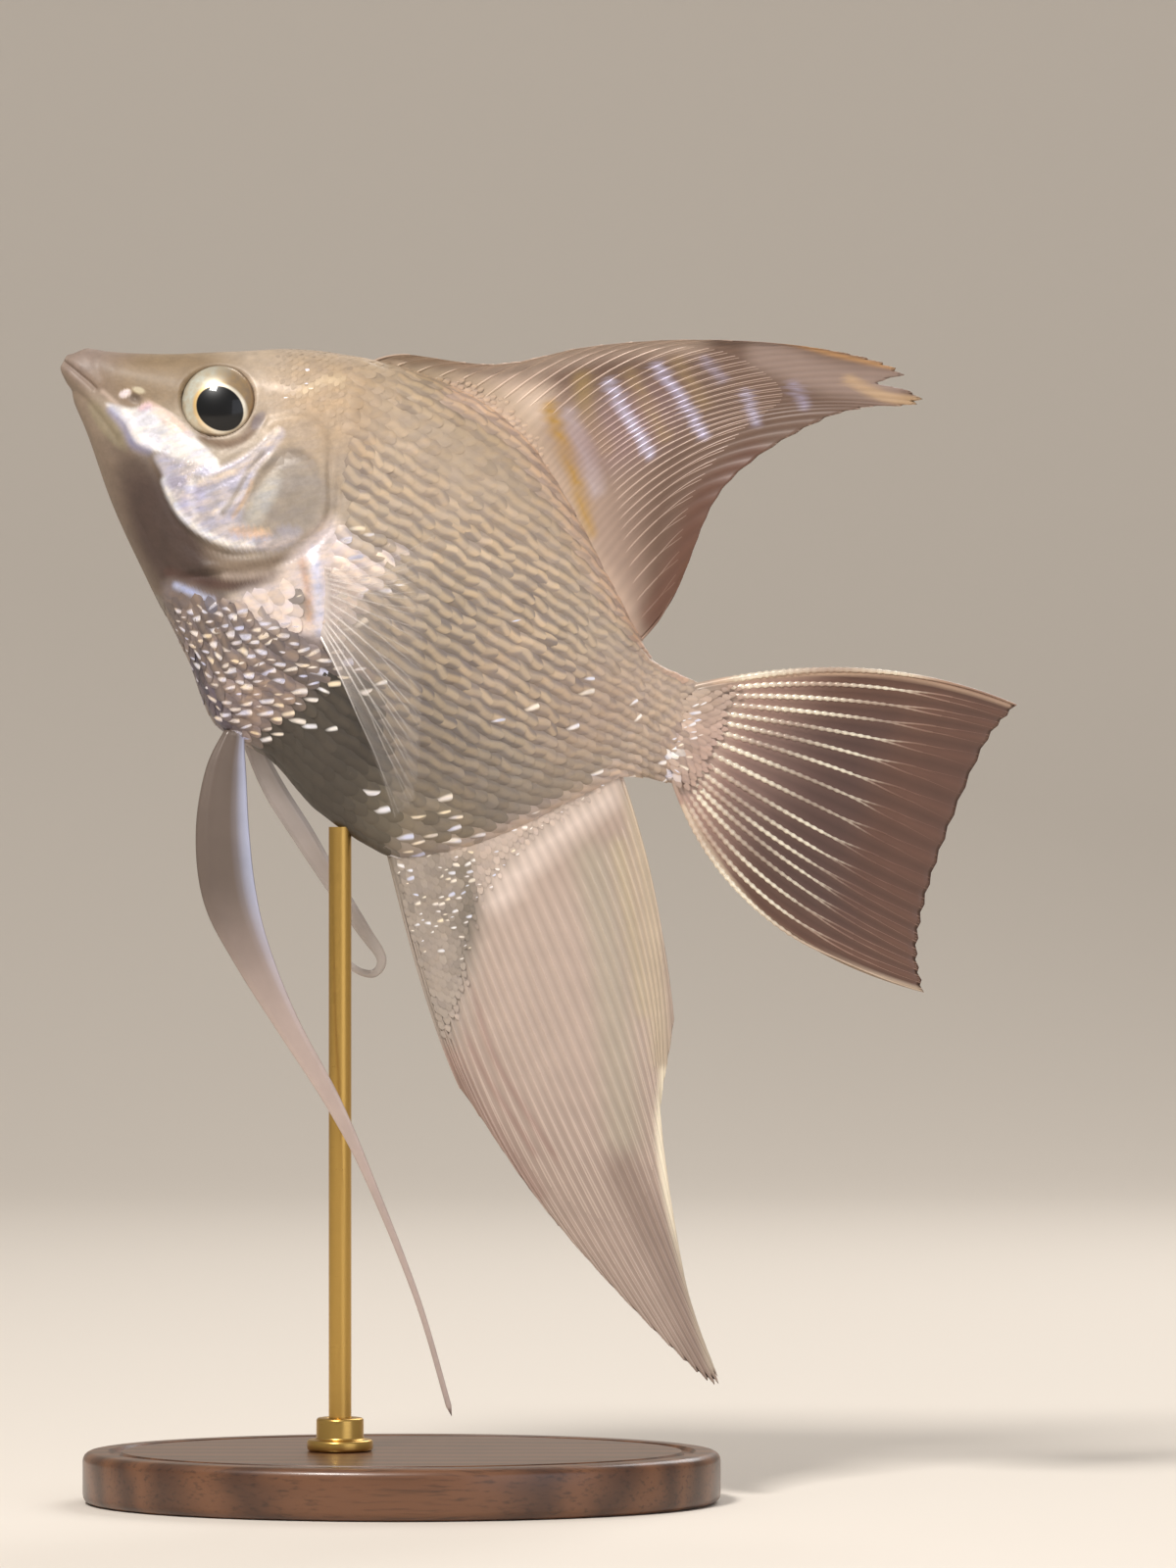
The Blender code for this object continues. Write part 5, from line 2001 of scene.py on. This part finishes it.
DORSAL_PAINT = FinPaint("#B39A8A", "#735A4C", "#B59C8D", DORSAL_MARKS_AND_PAINTED_LIGHT, 1, 0.95, 0.88,
    sheath=DORSAL_SHEATH)
ANAL_MARKS = (
    Mark(((72, -28), (13, 9)), "#C8B3A6", 0.8, 1.2, turn=-40),
    Mark(((56, -29), (62, -35.5), (70, -41.5), (80, -46.5)), "#8F6A60", 0.55, 2, half=0.9),
    Mark(((60.5, -30.8), (68, -37.6), (78, -43)), "#A07A70", 0.5, 0.7, half=0.25),
    Mark(((64, -31.6), (70, -37), (80, -42.4)), "#A07A70", 0.5, 0.7, half=0.25),
    Mark(((51, -25), (56, -30), (63, -37), (66.5, -37), (64, -31), (61.5, -24), (61, -20),
        (57, -19)), "#B5A79B", 0.5, 3),
    Mark(((68.5, -15.5), (74, -22), (79, -29), (84.5, -37)), "#B1AC96", 0.4, 3, half=1.8),
    Mark(((70, -13), (75, -19), (80, -25.5)), "#CDBF98", 0.4, 1.6, half=0.8),
    Mark(((68.4, -7.6), (75.4, -16.4), (84, -29)), "#CDBBA2", 0.8, 1.6, half=1),
    Mark(((84.7, -29.8), (87.2, -34.8), (89.8, -38.4), (94.2, -43.5), (99, -48.3),
        (103.4, -52.4)), "#FFF3DA", 0.95, 0.8, half=0.4),
    Mark(((86, -40), (95, -46), (103, -52.6)), "#8D776B", 0.6, 2.4, half=1.6),
    Mark(((66, -9.6), (64, -14.4), (62.6, -19), (61.8, -23.4)), "#EFDDD2", 0.85, 2.4, half=1.6),
)
ANAL_PAINT = FinPaint("#B9A496", "#B49E91", "#D0BDB0", ANAL_MARKS, 1, 0.96, 0.92,
    sheath=ANAL_SHEATH)
TAIL_MARKS = (
    Mark(((72, -0.5), (7.6, 9)), "#BA9588", 0.9, 1.8),
    Mark(((70, 5.3), (73.1, 7.7), (78.7, 11.5), (84.2, 14.6), (89.8, 16.6), (96, 18)), "#DDBB9E",
        0.9, 0.5, half=0.2),
    Mark(((73.5, -6.5), (78, -9), (82, -10.8), (86, -12), (90, -12.3), (96, -11.7),
        (102.6, -10.4)), "#D9C3AC", 0.9, 0.5, half=0.25),
    Mark(((75.5, 4), (86, 11), (88, 6), (92, -2), (94, -9), (84, -9), (76, -4)), "#483A3E", 0.42,
        6),
    Mark(((94, 4), (5, 12)), "#664639", 0.75, 1),
)
TAIL_PAINT = FinPaint("#BE9F90", "#6C4C3E", "#A28272", TAIL_MARKS, 1, 0.93, 0.88,
    sheath=TAIL_SHEATH)
PECTORAL_MARKS = (
    Mark(((31, -4), (35, -2), (39.8, 4.2)), "#F2E6DE", 0.9, 0.5, half=0.5, pearl=0.3),
)
PECTORAL_PAINT = FinPaint("#E8DCD6", "#D9CEC6", "#F4ECE6", PECTORAL_MARKS, 0.28, 0.085, 0.025,
    0.05)
FINS = (
    FanFin("fin_dorsal", DORSAL_RAYS, ((0, 0), (0.444, 13), (1, 37)), DORSAL_PAINT, -1.2, 12,
        notches=((0.612, 0.018, 0.075), (0.72, 0.02, 0.03)), ray_radius=(0.16, 0.05)),
    FanFin("fin_anal", ANAL_RAYS, ((0, 0), (1, 30)), ANAL_PAINT, 1.2, 6, ray_radius=(0.17, 0.06),
        scallop=0.012, pleat=0.1, furrow=0.2),
    FanFin("fin_tail", TAIL_RAYS, ((0, 0), (1, 16)), TAIL_PAINT, 1, 1, ray_radius=(0.36, 0.07),
        bead=0.78, bead_until=0.66, scallop=0.008, furrow=0.3, branch=(0.6, 0.8)),
)


PECTORAL = FanFin("fin_pectoral_", PECTORAL_RAYS,
    ((0, 0), (0.25, 4.5), (0.5, 8), (0.75, 11), (1, 12)), PECTORAL_PAINT, 0, 1, root_half=0.3,
    edge_half=0.05, ray_radius=(0.17, 0.05), splay=7.2, pleat=0.03)


@dataclass(frozen=True)
class Sheath:
    """Small scales that climb from the body onto a fin's root, on both of its faces."""

    name: str
    outline: Spots
    lean: float
    pitch: float = 0.85
    row: float = 0.56
    length: float = 1.3
    width: float = 0.92
    crown: float = 0.04
    step: float = 0.05
    fringe: float = 2.6
    # how strongly the sheath's painted crest highlight and side shade show
    ridge_shading_strength: float = 0.5
    flare: float = 0.0

    def build(self, fin: FanFin, side: Side, coat: Coat, seed: int) -> None:
        """Lay the scales on one face of the fin, pointing along its rays.

        Args:
            fin: the fin that they cover.
            side: the face.
            coat: the body's coat, which has the scale and dresses it.
            seed: seed of their small irregularities.
        """
        rng = np.random.default_rng(seed)
        ring = ring_of(self.outline, 90)
        i, j = (m.ravel() for m in np.meshgrid(np.arange(-40, 41), np.arange(-60, 61)))
        flat = np.stack(((i + 0.5 * (j % 2)) * self.pitch, j * self.row), -1)
        lean = math.radians(self.lean)
        turn = np.array(((math.cos(lean), math.sin(lean)), (-math.sin(lean), math.cos(lean))))
        spots = ring.mean(0) + flat @ turn + rng.normal(0, 0.05, flat.shape)
        spots = spots[inside_depth(spots, ring) > rng.uniform(0, self.fringe / 2, len(spots))]
        u, v = (m.ravel() for m in np.meshgrid(np.linspace(0.01, 0.99, 140),
                                               np.linspace(fin.start, 0.6, 100)))
        table = fin.spot(u, v)
        gaps = [((table - spot) ** 2).sum(1) for spot in spots]
        nearest = np.array([int(np.argmin(gap)) for gap in gaps])
        close = np.array([gap.min() for gap in gaps]) < 0.1
        close &= np.abs(u[nearest] - 0.5) < 0.45
        spots, nearest = spots[close], nearest[close]
        u, v = u[nearest], v[nearest]
        ahead = fin.spot(u, v + 0.02) - fin.spot(u, v - 0.02)
        size = np.linalg.norm(ahead, axis=1, keepdims=True)
        ahead /= size
        x, z, crown = coat.scale.points.T
        grow = 0.4 + 0.6 * smooth(inside_depth(spots, ring) / self.fringe)[:, None]
        along = (x - coat.hold) * self.length * grow
        place = (spots[:, None] + along[..., None] * ahead[:, None]
                 + (z * self.width * grow)[..., None] * left_of(ahead)[:, None])
        vv = v[:, None] + along * 0.04 / size
        lift = np.maximum(fin.half(vv), fin.radius(vv)) + self.flare * np.exp(
            -(vv / 0.09) ** 2)
        lift += (self.crown * crown + self.step * x) * grow
        y = fin.centre(vv) + side.value * lift
        coat.dress(self, side, np.stack((place[..., 0], y, place[..., 1]), -1), spots,
                   fin.paint.colour(spots, v, False)[:2], np.stack((u, (v + 0.1) / 0.8), -1),
                   rng, lean)


SHEATHS = (
    Sheath("scales_dorsal", DORSAL_SHEATH, 58),
    Sheath("scales_anal", ANAL_SHEATH, -46),
    Sheath("scales_tail", TAIL_SHEATH, 4, flare=0.55),
)


@dataclass
class PelvicFin:
    """A long feeler: a narrow blade of a few rays that thins to a streamer."""

    finish: Finish
    side: Side
    route: Spots
    front: str
    rear: str
    streamer: str
    veil: float
    rings: int = 120
    sides: int = 24
    ridges: float = 3.5

    def build(self) -> None:
        """Make the blade with fine ridges along it."""
        template = tube_template(self.sides, self.rings)
        x, y, along = template.points.T
        spots = spline(self.route, along)
        ahead = (spline(self.route, np.clip(along + 0.004, 0, 1))
                 - spline(self.route, np.clip(along - 0.004, 0, 1)))[:, :2]
        closing = np.sqrt(np.clip(np.minimum(along, 1 - along) / 0.006, 0, 1))
        half = np.maximum(spots[:, 3], 0.12) * closing
        ridges = 1 + 0.35 * np.cos(x * self.ridges * math.pi) * smooth(spots[:, 3] / 1.2)
        thick = np.interp(along, (0, 0.5, 1), (0.36, 0.24, 0.12)) * closing
        lift = thick * np.sign(y) * np.abs(y) ** 0.8 * ridges
        place = spots[:, :2] + left_of(unit(ahead)) * (half * x)[:, None]
        points = np.stack((place[:, 0], self.side.value * spots[:, 2] + lift, place[:, 1]), -1)
        side = self.side.name.lower()
        obj = template.stamp("feeler_" + side, points[None])
        colour = mix(linear(self.front), linear(self.rear), smooth((x - 0.35) / 0.6))
        colour = mix(colour, linear(self.streamer), smooth((along - 0.28) / 0.35))
        veil = np.interp(along, (0, 0.1, 0.6, 1.0), (1.0, self.veil, self.veil, 0.8))
        paint(obj, tint=colour, pearl=0.25 + 0.3 * smooth((x - 0.5) / 0.5), veil=veil)
        close_up(obj)
        settle(obj, "fin_membrane", self.finish, "fin_pelvic_" + side)


# --- eyes

@dataclass
class Eye:
    """One eye: a flattened ball, seated in its socket."""

    finish: Finish
    side: Side
    segments: int = 96
    rings: int = 48
    fit: float = 0.995

    def build(self) -> None:
        """Make the eye in its socket, with its own UV map in eye millimetres."""
        side = self.side.name.lower()
        deselect_all()
        bpy.ops.mesh.primitive_uv_sphere_add(segments=self.segments, ring_count=self.rings,
                                             radius=1.0)
        obj = named(bpy.context.object, "eyeball_" + side)
        edit_mode()
        bpy.ops.mesh.select_all(action='SELECT')
        bpy.ops.transform.rotate(value=math.pi / 2, orient_axis='X',
                                 center_override=(0.0, 0.0, 0.0))
        edit_mode(False)
        local = get_points(obj.data) * np.array((EYE_RADIUS, EYE_HALF_DEPTH, EYE_RADIUS))
        local *= self.fit
        matrix = np.array(eye_matrix(self.side))
        set_points(obj.data, local * MM @ matrix[:3, :3].T + matrix[:3, 3])
        layer = obj.data.uv_layers.get("UVMap")
        layer.name = "iris"
        corners = [loop.vertex_index for loop in obj.data.loops]
        layer.data.foreach_set("uv", raw(local[corners][:, (0, 2)] / EYE_SPREAD + 0.5))
        close_up(obj)
        settle(obj, "eye", self.finish, "eye_" + side)


# --- stand

@dataclass
class Stand:
    """A plain display stand: an oval walnut foot, a turned brass collar and one rod."""

    wood: Finish
    brass: Finish
    radius_x: float = 31.0
    radius_y: float = 22.0
    height: float = 5.0
    cove: Spots = ((2.4, 0.0), (0.25, -0.35), (0.9, 0.0), (0.25, 0.35), (8.0, 0.0))
    rod_x: float = -6.0
    rod_radius: float = 1.1
    rod_from: float = 6.1
    collar_radius: float = 3.2
    collar_from: float = 5.02
    collar_flange: float = 1.1
    collar_step: float = 0.9
    collar_rise: float = 2.1
    bore_depth: float = 2.2
    bore_play: float = 0.04
    into_body: float = 0.5

    def belly_height(self) -> float:
        """Find the belly line straight above the rod.

        Returns:
            Its height in millimetres.
        """
        a = np.linspace(BODY_START, BODY_END, 4000)
        line = to_row(np.stack((a, 0 * a, BELLY(a)), -1)) / MM
        return float(np.interp(self.rod_x, line[:, 0], line[:, 2]))

    def foot(self) -> None:
        """Turn the oval foot with a rounded shoulder and a shallow cove round its top."""
        obj = cylinder("foot", 144, 1.0, 0.0, self.height * MM)
        obj.scale = (self.radius_x * MM, self.radius_y * MM, 1.0)
        bpy.ops.object.transform_apply(scale=True)
        pick(obj, 'FACE', lambda face: face.normal.z > 0.9)
        for inset, rise in self.cove:
            bpy.ops.mesh.inset(thickness=inset * MM)
            bpy.ops.transform.translate(value=(0.0, 0.0, rise * MM))
        round_edges(obj, 0.9 * MM, 5)
        settle(obj, "stand_wood", self.wood, "stand_base")

    def collar(self) -> None:
        """Turn the collar with a step, rounded edges and a bore for the rod."""
        obj = cylinder("turned_collar", 72, self.collar_radius * MM, self.collar_from * MM,
                       (self.collar_from + self.collar_flange) * MM, self.rod_x * MM)
        pick(obj, 'FACE', lambda face: face.normal.z > 0.9)
        wall = self.collar_radius - self.collar_step - self.rod_radius - self.bore_play
        for inset, rise in ((self.collar_step, self.collar_rise), (wall, -self.bore_depth)):
            bpy.ops.mesh.inset(thickness=inset * MM)
            bpy.ops.mesh.extrude_region_move(
                TRANSFORM_OT_translate={"value": (0.0, 0.0, rise * MM)})
        round_edges(obj, 0.28 * MM, 3)
        settle(obj, "stand_brass", self.brass, "stand_collar")

    def rod(self) -> None:
        """Make the rod, from inside the collar up to the belly."""
        high = self.belly_height() + self.into_body
        obj = cylinder("round_rod", 48, self.rod_radius * MM, self.rod_from * MM, high * MM,
                       self.rod_x * MM)
        close_up(obj, 35.0)
        settle(obj, "stand_brass", self.brass, "stand_rod")


# --- studio

@dataclass
class Studio:
    """Pale sweep, soft lights, and a level camera square to the fish's left side."""

    paper: Finish
    aim: tuple[float, ...] = (0.0181, 0.0, 0.0698)
    distance: float = 0.8
    view_height: float = 0.1524
    sensor: float = 36.0
    half_width: float = 2.5
    front: float = 1.4
    bend: float = 0.5
    floor: float = -0.00002

    def sweep(self) -> None:
        """Make the floor and backdrop as one curved sheet."""
        obj, flat = flat_grid("studio_sweep", 4, 80)
        run = (flat[:, 1] + 1) * 1.6
        turn = np.clip((run - self.front) / self.bend, 0, math.pi / 2)
        rest = np.maximum(run - self.front - self.bend * math.pi / 2, 0)
        y = -0.8 + np.minimum(run, self.front) + self.bend * np.sin(turn)
        z = self.bend * (1 - np.cos(turn)) + rest + self.floor
        set_points(obj.data, np.stack((flat[:, 0] * self.half_width, y, z), -1))
        obj.data.shade_smooth()
        obj.data.materials.append(self.paper)

    def lamp(self, name: str, at: tuple[float, ...], size: float, watts: float,
             colour: str) -> None:
        """Add a square area light that faces the fish.

        Args:
            name: the light's name.
            at: its place in metres.
            size: its side in metres.
            watts: its power.
            colour: its colour.
        """
        data = bpy.data.lights.new(name, 'AREA')
        data.size, data.energy, data.color = size, watts, tuple(linear(colour))
        lamp = bpy.data.objects.new(name, data)
        bpy.context.scene.collection.objects.link(lamp)
        lamp.location = at
        away = Vector(self.aim) - Vector(at)
        lamp.rotation_euler = away.to_track_quat('-Z', 'Y').to_euler()

    def light(self) -> None:
        """Set a soft key high on the left, a fill, a back light and a pale surround."""
        self.lamp("key", (-0.20, -0.42, 0.58), 0.14, 4.2, "#FFFCF8")
        self.lamp("fill", (0.45, -0.60, 0.16), 0.5, 0.9, "#EEF2FF")
        self.lamp("back", (0.25, 0.42, 0.45), 0.35, 1.6, "#FFFFFF")
        world = bpy.data.worlds.new("pale_surround")
        world.use_nodes = True
        bpy.context.scene.world = world
        link(world.node_tree.nodes["Background"], {"Color": rgba("#F1EDE8"), "Strength": 0.42})
        bpy.context.scene.view_settings.view_transform = 'Standard'

    def camera(self) -> None:
        """Set the camera."""
        data = bpy.data.cameras.new("camera")
        data.sensor_width = self.sensor
        data.sensor_fit = 'AUTO'
        data.lens = self.sensor * self.distance / self.view_height
        data.clip_start, data.clip_end = 0.01, 20.0
        camera = bpy.data.objects.new("camera", data)
        bpy.context.scene.collection.objects.link(camera)
        camera.location = Vector(self.aim) - Vector((0.0, self.distance, 0.0))
        camera.rotation_euler = (math.pi / 2, 0.0, 0.0)
        bpy.context.scene.camera = camera


# --- assembly

def main() -> None:
    """Build the fish's looks round the frame, then the stand and the studio."""
    logging.basicConfig(level=logging.INFO, format="%(message)s")
    skin = Skin(PearlSkin().make())
    skin.build()
    coat = Coat(PearlScale().make(), ScaleShape().model())
    for number, plan in enumerate(SCALE_FIELDS):
        for side in Side:
            coat.build(plan, side, SEED + 10 * number + side.value, skin.depth)
    for number, (fin, sheath) in enumerate(zip(FINS, SHEATHS)):
        for side in Side:
            sheath.build(fin, side, coat, SEED + 50 + 10 * number + side.value)
    web = FinMembrane().make()
    short, long = tube_template(8, 22), tube_template(8, 110)
    pair = [replace(PECTORAL, name=PECTORAL.name + side.name.lower(), side=side.value)
            for side in Side]
    for fin in (*FINS, *pair):
        fin.build(long if fin.bead else short, web)
    PelvicFin(web, Side.LEFT, PELVIC_NEAR, "#6A5C53", "#AEB0C4", "#BDA9A0", 0.95).build()
    PelvicFin(web, Side.RIGHT, PELVIC_FAR, "#B5A9A4", "#C9C3C6", "#C4BAB4", 0.6).build()
    gloss = FishEye().make()
    for side in Side:
        Eye(gloss, side).build()
    stand = Stand(Walnut().make(), BrushedBrass().make())
    stand.foot()
    stand.collar()
    stand.rod()
    studio = Studio(PaleSweep().make())
    studio.sweep()
    studio.light()
    studio.camera()
    deselect_all()
    bpy.context.view_layer.update()


if __name__ == "__main__":
    main()
